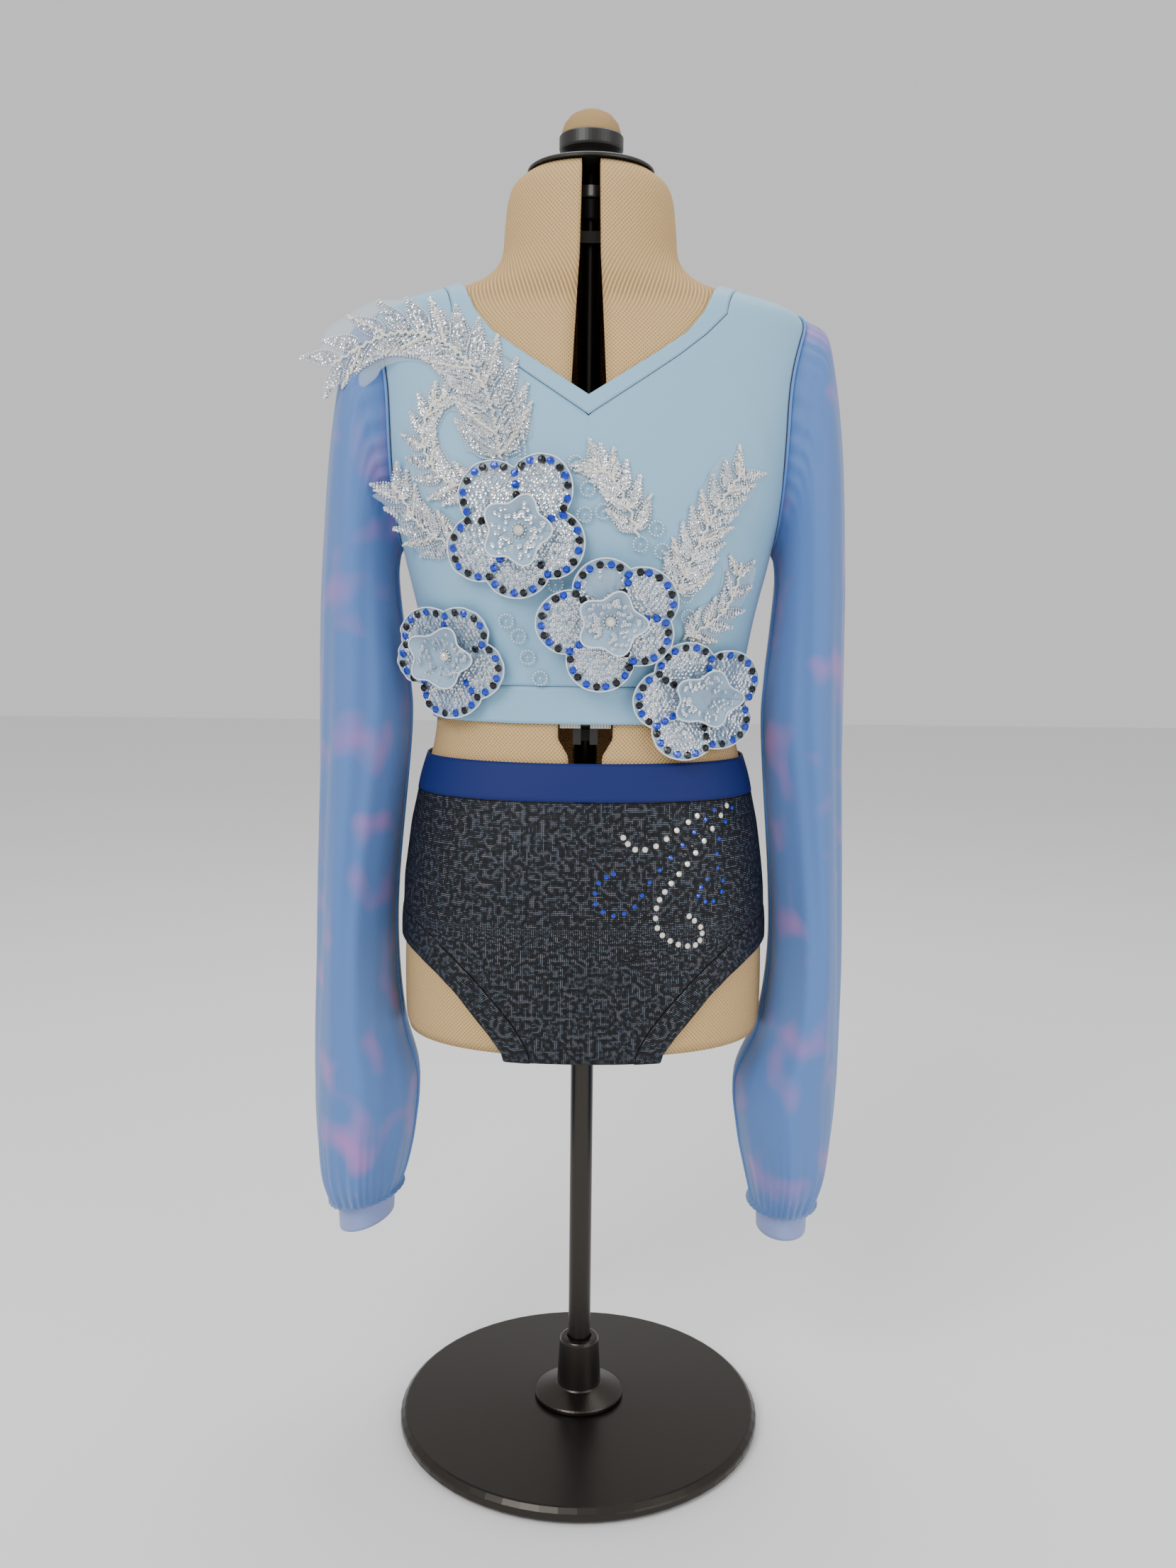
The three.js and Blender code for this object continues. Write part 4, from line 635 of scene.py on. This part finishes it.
def sleeveGrid(side):
    # rings carried down the arm; long uneven folds run down it, with fine gathers at the cap and above the cuff
    rows = sleeveRows[side]
    count = (len(rows) - 1) * sleeveLook["steps"] + 1
    v = np.linspace(0, len(rows) - 1, count)
    r = curve(rows, v)[:, None]
    turn = np.linspace(0, 2 * pi, sleeveLook["spokes"], endpoint=False)[None]
    share = (1 - np.cos(turn)) / 2
    z = r[..., 1] + (r[..., 3] - r[..., 1]) * share
    folds = (np.sin(3 * turn + 0.9 + 0.004 * z) + 0.8 * np.sin(5 * turn + 2.1 - 0.006 * z)
             + 0.6 * np.sin(8 * turn + 0.3 + 0.011 * z) + 0.35 * np.sin(13 * turn + 1.7 + 0.02 * z)) / 2.2
    gather = np.sin(34 * turn + 2 * np.sin(5 * turn)) * (np.exp(-(v[:, None] / 0.9) ** 2) +
                                                         np.exp(-((len(rows) - 1 - v[:, None]) / 1.6) ** 2))
    grow = sleeveLook["foldDepth"] * r[..., 5] * folds + sleeveLook["gatherDepth"] * gather
    middle, half = (r[..., 0] + r[..., 2]) / 2, (r[..., 2] - r[..., 0]) / 2
    inward = np.where(-np.cos(turn) < 0, 0.35, 1)  # the side next to the body stays smooth
    x = middle - np.cos(turn) * (half + grow * inward * 0.9)
    y = -np.sin(turn) * (r[..., 4] + grow)
    hanging = np.stack([side * x, y, z], -1)
    armhole = armholeRing(side, turn[0])[None]
    cuff = cuffs[side]
    pleat = 0.4 * np.sin(34 * turn[0])
    low = [cuffRing(cuff, side, below, grow, turn[0]) + np.stack([0 * pleat, 0 * pleat, pleat * k], -1)
           for below, grow, k in ((sleeveLook["blouse"] - 1, 8, 1), (sleeveLook["blouse"], 7, 1),
                                  (sleeveLook["blouse"] - 2, 4, 0.6), (0, 1.4, 0))]
    return np.concatenate([armhole, hanging, low])


def armholeRing(side, turn):  # the sleeve's first ring, over the edge of the bodice's armhole
    z = cut["armMiddle"] - cut["armHalf"] * np.cos(turn)
    behind = turn > pi
    depth = np.maximum(armDepth(z) - 0.6, 0)
    angle = np.where(behind, pi - angleAtY(z, depth, True), angleAtY(z, depth, False))
    return skin(placeOf(z), side * angle, cut["ease"] + cut["cloth"] + 0.5)


for side, word in ((-1, "left"), (1, "right")):
    grid = sleeveGrid(side)
    piece = addSheet("sleeve" + word.title(), grid, sheer, "sleeve_mesh", "sleeve_" + word, 0.5, True,
                     away=(side * 163, 0))
    cuff = cuffs[side]
    turn = np.linspace(0, 2 * pi, 72, endpoint=False)
    rib = 0.25 * np.sin(36 * turn)
    rings = np.stack([cuffRing(cuff, side, 0.6 + t * cuff["height"], 0.6 - t + rib, turn)
                      for t in np.linspace(0, 1, 12)])
    piece = addSheet("cuff" + word.title(), rings, cuffKnit, "cuff_cloth", "cuff_" + word, cut["cloth"], True,
                     away=(side * cuff["x"], 0))
    seam = grid[1:-4, 3] + (-side * 0.5, -0.4, 0)  # the overlocked seam down the inner side
    addCord("sleeveSeam" + word.title(), seam, 1.0, overlock, "sleeve_mesh")
    ring = armholeRing(side, np.linspace(0, 2 * pi, 160, endpoint=False))
    addCord("armholeSeam" + word.title(), ring * (1.006, 1.01, 1), 1.1, overlock, "sleeve_mesh", True)
print("sleeves built")

# ---- the briefs
# Stations along the leg opening: z and half width of the seam, then of the band's free edge.
legFront = np.array([(323, 37, 321, 55), (339, 46, 332, 63), (354, 58, 345, 74), (371, 74, 359, 86),
                     (385, 90, 371, 100), (397, 106, 380, 114), (404, 118, 385, 124), (406.3, 125, 386.8, 128),
                     (407.3, 128.4, 387.4, 130.2),
                     (407.8, 129.9, 387.8, 131.1)])
legBack = np.array([(323, 50, 320, 66), (334, 72, 322, 82), (347, 90, 331, 96), (361, 104, 343, 108),
                    (375, 114, 356, 118), (389, 122, 370, 125), (401, 127, 381, 129),
                    (405, 129.2, 385, 130.5), (407.2, 130, 387.2, 131.2)])
# The rest of the leg opening: its top at the side, the roll under the hem and the gusset's half widths.
under = {"side": 408, "sideFree": 388, "roll": 314.5, "level": 311, "turn": 16, "sag": 4, "shift": 38, "front": 35,
         "back": 48, "middle": 13, "band": 9, "bandEnd": 13}


def hemDepth(x, behind):  # how deep the cloth hangs at the form's hem
    s = section(placeOf(318.0))
    return s[3 if behind else 2] * (1 - np.minimum(np.abs(x) / s[1], 0.98) ** s[4]) ** (1 / s[4]) + cut["ease"]


def rollPoint(x, behind, t, lift):  # the cloth as it rolls under the hem, t from its corner to below the form
    turn = 1 if behind else -1
    depth = hemDepth(x, behind) - under["turn"] * t
    z = under["roll"] + (under["level"] - under["roll"]) * np.sin(t * pi / 2) ** 0.7
    out = lift * np.cos(t * pi / 2 * 0.5 + pi / 4)
    return np.stack([x + 0 * depth, turn * (depth + out), z - lift * np.sin(t * pi / 4 + pi / 4) + 0 * depth], -1)


briefCreases = np.array([(-120, 470, -60, 420, 10, 0.8), (-124, 430, -70, 392, 9, 0.9), (118, 470, 66, 430, 10, 0.8),
                         (122, 424, 74, 396, 9, 0.8), (-30, 480, -20, 430, 9, 0.5), (34, 478, 26, 436, 9, 0.5)])


def briefPanel(behind):
    leg = legBack if behind else legFront
    top = np.linspace(cut["waistFoot"] - cut["gap"], under["side"], 26)
    low = np.concatenate([np.linspace(leg[-1, 0], leg[-3, 0], 8), np.linspace(leg[-3, 0] - 1, leg[0, 0], 40)])
    end = np.concatenate([angleAtY(top, 0.15, behind), angleAtX(low, np.interp(low, leg[:, 0], leg[:, 1]))])
    z = np.concatenate([top, low])
    columns = np.linspace(-1, 1, 91)
    angle = end[:, None] * columns
    place = placeOf(z)[:, None]
    flat = skin(place, angle, 0.0)
    lift = cut["ease"] + cut["cloth"] + np.clip(creased(flat[..., 0], flat[..., 2], briefCreases), 0, 1.2)
    points = skin(place, np.sign(angle + 1e-9) * (pi - np.abs(angle)) if behind else angle, lift)
    t = np.linspace(0, 1, 8)[:, None]
    wide = (leg[0, 1] - 1) + ((under["back" if behind else "front"]) - leg[0, 1] + 1) * t
    rolled = rollPoint(wide * columns, behind, t, cut["cloth"])
    return np.concatenate([points, rolled])


def gussetAt(share):  # the gusset's middle, half width and level, from front to back; it bows round the pole
    bow = np.sin(pi * share)
    ends = under["front"] + (under["back"] - under["front"]) * share
    half = ends + (under["middle"] - ends) * bow ** 0.8
    return under["shift"] * bow ** 1.5, half, under["level"] - under["sag"] * bow


def underPoint(x, share, lift):  # a point under the form, from the front roll to the back one
    level = gussetAt(share)[2]
    front = -(hemDepth(x, False) - under["turn"]) + 0.3
    back = hemDepth(x, True) - under["turn"] - 0.3
    return np.stack([x, front + (back - front) * share, level - lift + 0 * x], -1)


for behind, word in ((False, "front"), (True, "back")):
    piece = addSheet("brief" + word.title(), briefPanel(behind), foil, "brief_cloth", "brief_" + word, cut["cloth"],
                     away=(0, 1 if behind else -1, 0))
share = np.linspace(0, 1, 50)[:, None]
middle, half, level = gussetAt(share)
grid = underPoint(middle + half * np.linspace(-1, 1, 14), share, cut["cloth"])
piece = addSheet("briefGusset", grid, foil, "brief_cloth", "brief_gusset", cut["cloth"], away=(0, 0, -1))


def legBandGrid(side):  # a ring of stations round the leg opening, each a short line from the seam to the free edge
    across = np.linspace(0, 1, 8)
    lift = cut["ease"] + cut["band"] + 0.3 * np.sin(across * pi)

    def onSkin(table, behind, order):
        u = np.linspace(0, len(table) - 1, 60)[::order]
        z, seam, freeZ, free = (np.interp(u, np.arange(len(table)), table[:, k])[:, None] for k in range(4))
        x = side * (seam + (free - seam) * across + 0.3)
        return skinAtX(x, z + (freeZ - z) * across - 0.3, lift, behind)

    def onRoll(behind, order):
        leg = legBack if behind else legFront
        t = np.linspace(0, 1, 6)[::order, None]
        seam = leg[0, 1] - 1 + (under["back" if behind else "front"] - leg[0, 1] + 1) * t
        free = leg[0, 3] - 1 + (under["back" if behind else "front"] + under["bandEnd"] - leg[0, 3] + 1) * t
        return rollPoint(side * (seam + (free - seam) * across + 0.45), behind, t, cut["band"])

    share = np.linspace(0, 1, 42)[1:-1, None]
    middle, half, _ = gussetAt(share)
    wide = under["bandEnd"] + (under["band"] - under["bandEnd"]) * np.sin(pi * share)
    below = underPoint(middle + side * (half + 0.45 + wide * across), share, cut["band"])
    z = under["side"] + (under["sideFree"] - under["side"]) * across - 0.3
    atSide = skin(placeOf(z), np.full(8, side * pi / 2), lift)[None]
    return np.concatenate([onSkin(legFront, False, -1), onRoll(False, 1), below, onRoll(True, -1),
                           onSkin(legBack, True, 1), atSide])


for side, word in ((-1, "left"), (1, "right")):
    grid = legBandGrid(side)
    k, last = np.arange(7), (len(grid) - 1) * 8
    closing = np.stack([k, k + 1, k + 1 + last, k + last], -1)[:, ::-1]
    faces = np.concatenate([gridFaces(*grid.shape[:2]), closing])
    piece = addMesh("legBand" + word.title(), grid, faces, foil, "brief_cloth", ["leg_band_" + word], cut["band"],
                    runs(grid))
print("briefs built")

# ---- the flowers: place on the front, lift, and petals as direction (degrees) and reach (mm)
flowers = {
    "upper": {"x": -43, "z": 674, "lift": 0.9, "petals": [(128, 48), (63, 49), (-22, 43), (-92, 42), (204, 46)]},
    "centre": {"x": 15, "z": 618, "lift": 6.4, "petals": [(100, 40), (35, 45), (-25, 40), (256, 47), (182, 46)]},
    "side": {"x": -90, "z": 592, "lift": 2, "petals": [(131, 38), (58, 36), (-26, 40), (-82, 44), (188, 35)]},
    "lower": {"x": 74, "z": 565, "lift": 2, "petals": [(118, 41), (33, 42), (-52, 42), (246, 47), (183, 44)]},
}
# What the flowers are sewn with: a stone's pitch and radius and its distance from the rim, and the heart's form (mm).
trim = {"root": 13, "petalHalf": 21, "cup": 5, "stonePitch": 6.4, "stoneRadius": 2.6, "stoneInset": 3.4,
        "notchSteps": (9.8, 16.2), "notchEnd": 20, "heart": 19, "heartWave": 0.14, "heartRise": 9, "heartLift": 3.0,
        "plainPetal": ("centre", 100, 0.42, 0.8)}
overBands = cut["ease"] + cut["band"] + cut["gap"]


def flowerReach(petals, direction):  # how far the flower's edge lies in a direction: the farthest petal oval
    reach = np.full(np.shape(direction), float(trim["root"]))
    for axis, length in petals:
        away = direction - radians(axis)
        middle, along, across = 0.55 * length, 0.45 * length, trim["petalHalf"] * min(1, length / 42)
        c, s = np.cos(away) / along, np.sin(away) / across
        square, half = c * c + s * s, c * middle / along
        rest = half * half - square * ((middle / along) ** 2 - 1)
        far = (half + np.sqrt(np.maximum(rest, 0))) / square
        reach = np.maximum(reach, np.where((rest > 0) & (np.cos(away) > 0), far, 0))
    return reach


def flowerLift(flower, reach, direction):  # cupped towards the rim, with faint creases that run out along the petals
    crease = 0.35 * np.sin(direction * 17 + reach * 0.05) + 0.3 * np.sin(direction * 29 + 1.3)
    return overBands + flower["lift"] + 1.2 + trim["cup"] * (reach / 45) ** 2 + crease * np.minimum(reach / 30, 1)


def flowerPoint(flower, reach, direction, lift):  # a point on the front, at a reach and direction from the middle
    return clothPoint(flower["x"] + reach * np.cos(direction), flower["z"] + reach * np.sin(direction), lift)


def polar(flower, reach, direction):  # the same as rows of x, z
    return np.stack([flower["x"] + reach * np.cos(direction), flower["z"] + reach * np.sin(direction)], -1)


for name, flower in flowers.items():
    direction = np.linspace(0, 2 * pi, 200, endpoint=False)
    edge = flowerReach(flower["petals"], direction)
    reach = np.linspace(0.04, 1, 22)[:, None] * edge
    grid = flowerPoint(flower, reach, direction, flowerLift(flower, reach, direction[None]))
    addSheet("flower" + name.title(), grid, tulle, "applique", "flower_" + name, 0.8, True, away=(0, -1, 0))
    addCord("petalCord" + name.title(), grid[-1] + (0, -0.3, 0), 0.55, whiteCord, "applique", True)
    # ring sequins over the petals, on a loose hexagonal grid
    gx, gz = np.meshgrid(np.arange(-52, 53, 2.75), np.arange(-52, 53, 2.4))
    gx = gx + (np.arange(len(gz)) % 2)[:, None] * 1.37
    gx, gz = (g.ravel() + rng.normal(0, 0.35, g.size) for g in (gx, gz))
    far, towards = np.hypot(gx, gz), np.arctan2(gz, gx)
    inside = (far < flowerReach(flower["petals"], towards) - 3.2) & (far > 11)
    plain, plainAxis, plainHalf, plainShare = trim["plainPetal"]
    if name == plain:  # one petal is plainer cloth
        inside &= ~((np.abs(towards - radians(plainAxis)) < plainHalf) & (rng.random(far.size) < plainShare))
    gx, gz, far, towards = (g[inside] for g in (gx, gz, far, towards))
    sewSequins("sequins" + name.title(), *facing(flower["x"] + gx, flower["z"] + gz,
                                                 flowerLift(flower, far, towards) + 0.5), 0.2, 0.85, 1.1)
    # cut stones round the rim and down between the petals, blue and black in turn
    rim = polar(flower, edge - trim["stoneInset"], direction)
    run = np.concatenate([[0], np.cumsum(np.linalg.norm(np.diff(np.concatenate([rim, rim[:1]]), axis=0), axis=-1))])
    count = 2 * int(run[-1] / trim["stonePitch"] / 2)
    where = np.interp(np.arange(count) * run[-1] / count, run, np.arange(len(run)))
    pick = np.round(where).astype(int) % len(direction)
    spots = np.stack([edge[pick] - trim["stoneInset"], direction[pick]], -1)
    axes = np.sort([radians(axis) % (2 * pi) for axis, _ in flower["petals"]])
    notches = (axes + np.roll(axes + 2 * pi * (axes == axes[0]), -1)) / 2  # midway between neighbouring petals
    depth = flowerReach(flower["petals"], notches)
    for step in trim["notchSteps"]:
        spots = np.concatenate([spots, np.stack([depth - step, notches], -1)[depth - step > trim["notchEnd"]]])
    lift = flowerLift(flower, *spots.T) + 0.9
    for parity, material, word in ((0, cobalt, "Blue"), (1, jet, "Black")):
        scatter("stones" + word + name.title(), stoneShape, material, "applique", polar(flower, *spots[parity::2].T),
                lift[parity::2], trim["stoneRadius"], smooth=False)

    # the heart: a small cup of five lobes with corded edges
    turn = np.linspace(0, 2 * pi, 120, endpoint=False)
    lobe = trim["heart"] * (1 + trim["heartWave"] * np.cos(5 * turn))
    share = np.linspace(0, 1, 14)[:, None]
    rise = np.interp(share, (0, 0.55, 1), (0, 0.15, 1)) ** 1.15
    base = overBands + flower["lift"]
    lift = base + trim["heartLift"] + rise * (trim["heartRise"] + 1.2 * np.sin(3 * turn + 0.7))
    grid = flowerPoint(flower, share * lobe, turn, lift)
    addSheet("heart" + name.title(), grid, tulle, "applique", "heart_" + name, 0.6, True, away=(0, -1, 0), weld=True)
    addCord("heartCord" + name.title(), grid[-1], 0.6, whiteCord, "applique", True)
    ring = 0.4 + 0.5 * rng.random(90)
    angle = rng.uniform(0, 2 * pi, 90)
    scatter("heartSequins" + name.title(), sequinShape, silver, "applique", polar(flower, trim["heart"] * ring, angle),
            base + 3.6 + np.interp(ring, (0.4, 1), (0.1, 1)) * trim["heartRise"], 0.9, smooth=False)
    if name != "lower":
        middle = np.array([[flower["x"], flower["z"]]], float)
        scatter("centreStone" + name.title(), domeShape, clear, "clear_stone", middle, base + 4.2,
                replaces=["stone_" + name], smooth=False)
        at, xAxis, yAxis = facing(*middle.T, base + 4.2)
        turn = np.arange(12)[:, None] * pi / 6
        ring = at + 4.6 * (xAxis * np.cos(turn) + yAxis * np.sin(turn))
        addMesh("centreBeads" + name.title(), *spread(*beadShape, ring, np.repeat(xAxis, 12, 0),
                                                      np.repeat(yAxis, 12, 0), 0.9), silverBead, "applique")
print("flowers built")

# ---- the beaded leaf sprays: spine across the front (x, z in mm), leaf length, pairs of leaves
sprays = {
    "shoulder": {"spine": [(-56, 718), (-66, 762), (-92, 795), (-130, 806), (-172, 786)], "width": 24, "leaves": 12},
    "side": {"spine": [(-72, 700), (-94, 708), (-107, 730), (-104, 752), (-92, 762)], "width": 13, "leaves": 9},
    "flank": {"spine": [(-84, 664), (-100, 672), (-112, 682), (-122, 698), (-128, 706)], "width": 15, "leaves": 6},
    "middle": {"spine": [(32, 672), (26, 690), (18, 704), (10, 712), (2, 718)], "width": 14, "leaves": 6},
    "wing": {"spine": [(58, 634), (66, 654), (76, 676), (88, 698), (102, 716)], "width": 16, "leaves": 8},
    "tail": {"spine": [(64, 606), (78, 614), (90, 624), (98, 640), (101, 656)], "width": 12, "leaves": 5},
}


def spineCurve(spine, t):  # the curve through a spine's points, at shares of its length
    return curve(np.array(spine, float), np.asarray(t) * (len(spine) - 1))


def sprayLift(x):  # the sprays stand off a little more where they cross the armhole
    return overBands + 0.3 + np.maximum(np.abs(x) - 122, 0) * 0.16


def belowShoulder(spots):  # rows of x, z kept on the front, under the shoulder's top edge
    spots[..., 1] = np.minimum(spots[..., 1], 832)
    return spots


for name, spray in sprays.items():
    t = np.linspace(0, 1, 60)
    line = spineCurve(spray["spine"], t)
    along = unit(np.gradient(line, axis=0))
    across = np.stack([along[:, 1], -along[:, 0]], -1)
    # tulle backing: a strip each side of the spine with an uneven edge
    edge = np.linspace(-1, 1, 15)[None, :, None]
    width = (spray["width"] * (0.92 + 0.12 * np.sin(9 * t)) * np.minimum(1, 6 * (1 - t) + 0.25))[:, None, None]
    strip = belowShoulder(line[:, None] + across[:, None] * edge * width
                          + along[:, None] * np.abs(edge) * width * 0.5)
    backing = clothPoint(strip[..., 0], strip[..., 1], sprayLift(strip[..., 0]))
    addSheet("sprayNet" + name.title(), backing, net, "applique", "spray_" + name, 0.4, away=(0, -1, 0))
    # each leaf: rows of sequins inside, seed beads round its edge, and on some a rib of bugle beads
    sequins, beads, bugles = [], [], []
    for leaf in range(spray["leaves"]):
        share = (leaf + 0.35) / spray["leaves"]
        root = spineCurve(spray["spine"], np.array([share]))[0]
        k = int(share * 59)
        length = spray["width"] * (1 - 0.35 * share) * 1.3
        for hand in (-1, 1):
            lean = across[k] * hand * 0.8 + along[k] * 0.6
            bend = along[k] * 0.35
            u = np.linspace(0.1, 1, max(int(length / 1.35), 5))
            rib = root + lean * (u * length)[:, None] + bend * (u ** 2 * length)[:, None]
            side = np.array([lean[1], -lean[0]]) / np.linalg.norm(lean)
            swell = 0.17 * length * np.sin(pi * u ** 0.8)
            if (leaf + (hand > 0)) % 3 == 1:
                bugles.append(np.concatenate([rib[::3], np.broadcast_to(unit(lean), rib[::3].shape)], -1))
            for off in (-0.85, -0.3, 0.3, 0.85):
                sequins.append(rib + side * (off * swell)[:, None] + rng.normal(0, 0.25, rib.shape))
            edgeOff = side * (1.35 * swell + 0.6)[:, None]
            beads += [rib + edgeOff, rib - edgeOff]
    sequins, beads = (belowShoulder(np.concatenate(spots)) for spots in (sequins, beads))
    at, xAxis, yAxis = facing(*sequins.T, sprayLift(sequins[:, 0]) + 0.7)
    turn = rng.uniform(0, 2 * pi, len(at))[:, None]
    sewSequins("spraySequins" + name.title(), at, xAxis * np.cos(turn) + yAxis * np.sin(turn),
               yAxis * np.cos(turn) - xAxis * np.sin(turn), 0.25, 0.75, 1.0)
    scatter("sprayBeads" + name.title(), beadShape, silverBead, "applique", beads, sprayLift(beads[:, 0]) + 0.7,
            rng.uniform(0.7, 0.95, len(beads)))
    # bugle beads laid slantwise down the stem, and along some leaves
    run = np.linspace(0.02, 0.96, int(np.linalg.norm(np.diff(line, axis=0), axis=-1).sum() / 2.6))
    stem = spineCurve(spray["spine"], run)
    k = (run * 59).astype(int)
    slant = along[k] + across[k] * 0.55 * np.where(np.arange(len(run)) % 2, 1, -1)[:, None]
    laid = belowShoulder(np.concatenate([np.concatenate([stem, unit(slant)], -1), *bugles]))
    at, xAxis, yAxis = facing(laid[:, 0], laid[:, 1], sprayLift(laid[:, 0]) + 1.3)
    bead, normal = laid[:, 2:3] * xAxis + laid[:, 3:4] * yAxis, np.cross(xAxis, yAxis)
    points, faces = spread(*bugleShape, at, normal, np.cross(bead, normal), rng.uniform(0.8, 1.0, len(at)))
    addMesh("sprayBugles" + name.title(), points, faces, bugle, "applique")

# strands of small beads that fall from the shoulder spray towards the upper flower
strands = [(-74, 790, -58, 722), (-68, 788, -52, 716), (-62, 784, -46, 722), (-57, 776, -42, 706), (-52, 770, -40, 716)]
rows = []
for x0, z0, x1, z1 in strands:
    t = np.linspace(0, 1, int((z0 - z1) / 2.3))
    rows.append(np.stack([x0 + (x1 - x0) * t + 2.5 * np.sin(3 * t), z0 + (z1 - z0) * t], -1))
scatter("beadStrands", beadShape, silverBead, "applique", np.concatenate(rows), overBands + 2.9, 0.95)
# rosettes of seed beads between the flowers
rosettes = np.array([(-8, 716), (4, 722), (14, 708), (26, 698), (0, 700), (36, 688), (10, 686), (24, 678), (44, 676),
                     (34, 666), (-2, 684), (48, 662), (56, 648), (64, 634), (66, 620), (-12, 652), (-20, 640),
                     (-44, 606), (-38, 592), (-30, 578), (-52, 616)], float)
turn = np.arange(14) * 2 * pi / 14
ring = (rosettes[:, None] + 4.6 * np.stack([np.cos(turn), np.sin(turn)], -1)).reshape(-1, 2)
scatter("beadRosettes", beadShape, silverBead, "applique", np.concatenate([ring, rosettes]), overBands + 1.7, 0.95)
print("sprays built")

# ---- stones on the briefs: curves of x, z with a stone size and a count
briefStones = {
    "clear": {"material": clear, "size": 2.0, "lines": [
        ([(97, 488), (84, 470), (70, 452), (57, 437), (49, 424), (50, 408), (62, 398), (76, 396), (80, 406),
          (71, 416)], 23),
        ([(26, 470), (34, 462), (48, 464), (62, 474), (76, 483)], 9)]},
    "blue": {"material": cobalt, "size": 1.6, "lines": [
        ([(88, 486), (74, 472), (58, 456), (44, 440), (34, 424), (20, 418), (8, 426), (10, 440), (20, 446)], 17),
        ([(101, 486), (92, 468), (90, 450), (95, 434), (86, 424), (77, 430), (83, 440)], 12)]},
    "black": {"material": jet, "size": 1.3, "lines": [
        ([(91, 484), (72, 462), (54, 440), (40, 418), (37, 400), (36, 388), (28, 386)], 26)]},
}
for name, group in briefStones.items():
    spots = np.concatenate([spineCurve(line, np.linspace(0, 1, count)) for line, count in group["lines"]])
    scatter("briefStones" + name.title(), stoneShape, group["material"], "brief_cloth", spots,
            cut["ease"] + cut["cloth"] + 0.25, group["size"], skinAtX, smooth=False)

# ---- ticks on the two scale plates
tick = np.array([(-0.12, 0, 0), (0.12, 0, 0), (0.12, 0, 1), (-0.12, 0, 1)], float)
points = np.concatenate([tick * (1, 1, 2.2 if k % 2 else 5.5) + (side * x, -76.15, 543.2)
                         for side in (-1, 1) for k, x in enumerate(np.linspace(4.6, 16.2, 7))])
addMesh("scaleTicks", points, np.arange(len(points)).reshape(-1, 4), ink, "scale_plastic", away=(0, -1, 0),
        smooth=False, flat=True)
print("trims built")

# ---- floor, light and camera
bpy.ops.mesh.primitive_plane_add(size=14, location=(0, 0, -0.0004))
floor = bpy.context.object
floor.data.materials.append(newMaterial("floor", (0.86, 0.86, 0.86), 0.9))
world = bpy.data.worlds.new("studio")
bpy.context.scene.world = world
world.use_nodes = True
background = world.node_tree.nodes["Background"]
background.inputs["Color"].default_value = (1, 1, 1, 1)
background.inputs["Strength"].default_value = 0.75
for name, place, size, power in (("key", (-1.3, -2.0, 2.2), 1.4, 52), ("fill", (1.9, -1.7, 1.2), 1.6, 20),
                                 ("top", (0.2, 0.6, 2.6), 1.6, 26)):
    lamp = bpy.data.lights.new(name, "AREA")
    lamp.size, lamp.energy = size, power
    light = bpy.data.objects.new(name, lamp)
    light.location = place
    light.rotation_euler = (Vector((0, 0, 0.6)) - Vector(place)).to_track_quat("-Z", "Y").to_euler()
    bpy.context.scene.collection.objects.link(light)
lens = bpy.data.cameras.new("camera")
lens.sensor_width, lens.lens = 36, 31.74
camera = bpy.data.objects.new("camera", lens)
camera.location = (0.001, -1.015, 0.62)
camera.rotation_euler = (radians(83), radians(-0.6), 0)
bpy.context.scene.collection.objects.link(camera)
bpy.context.scene.camera = camera
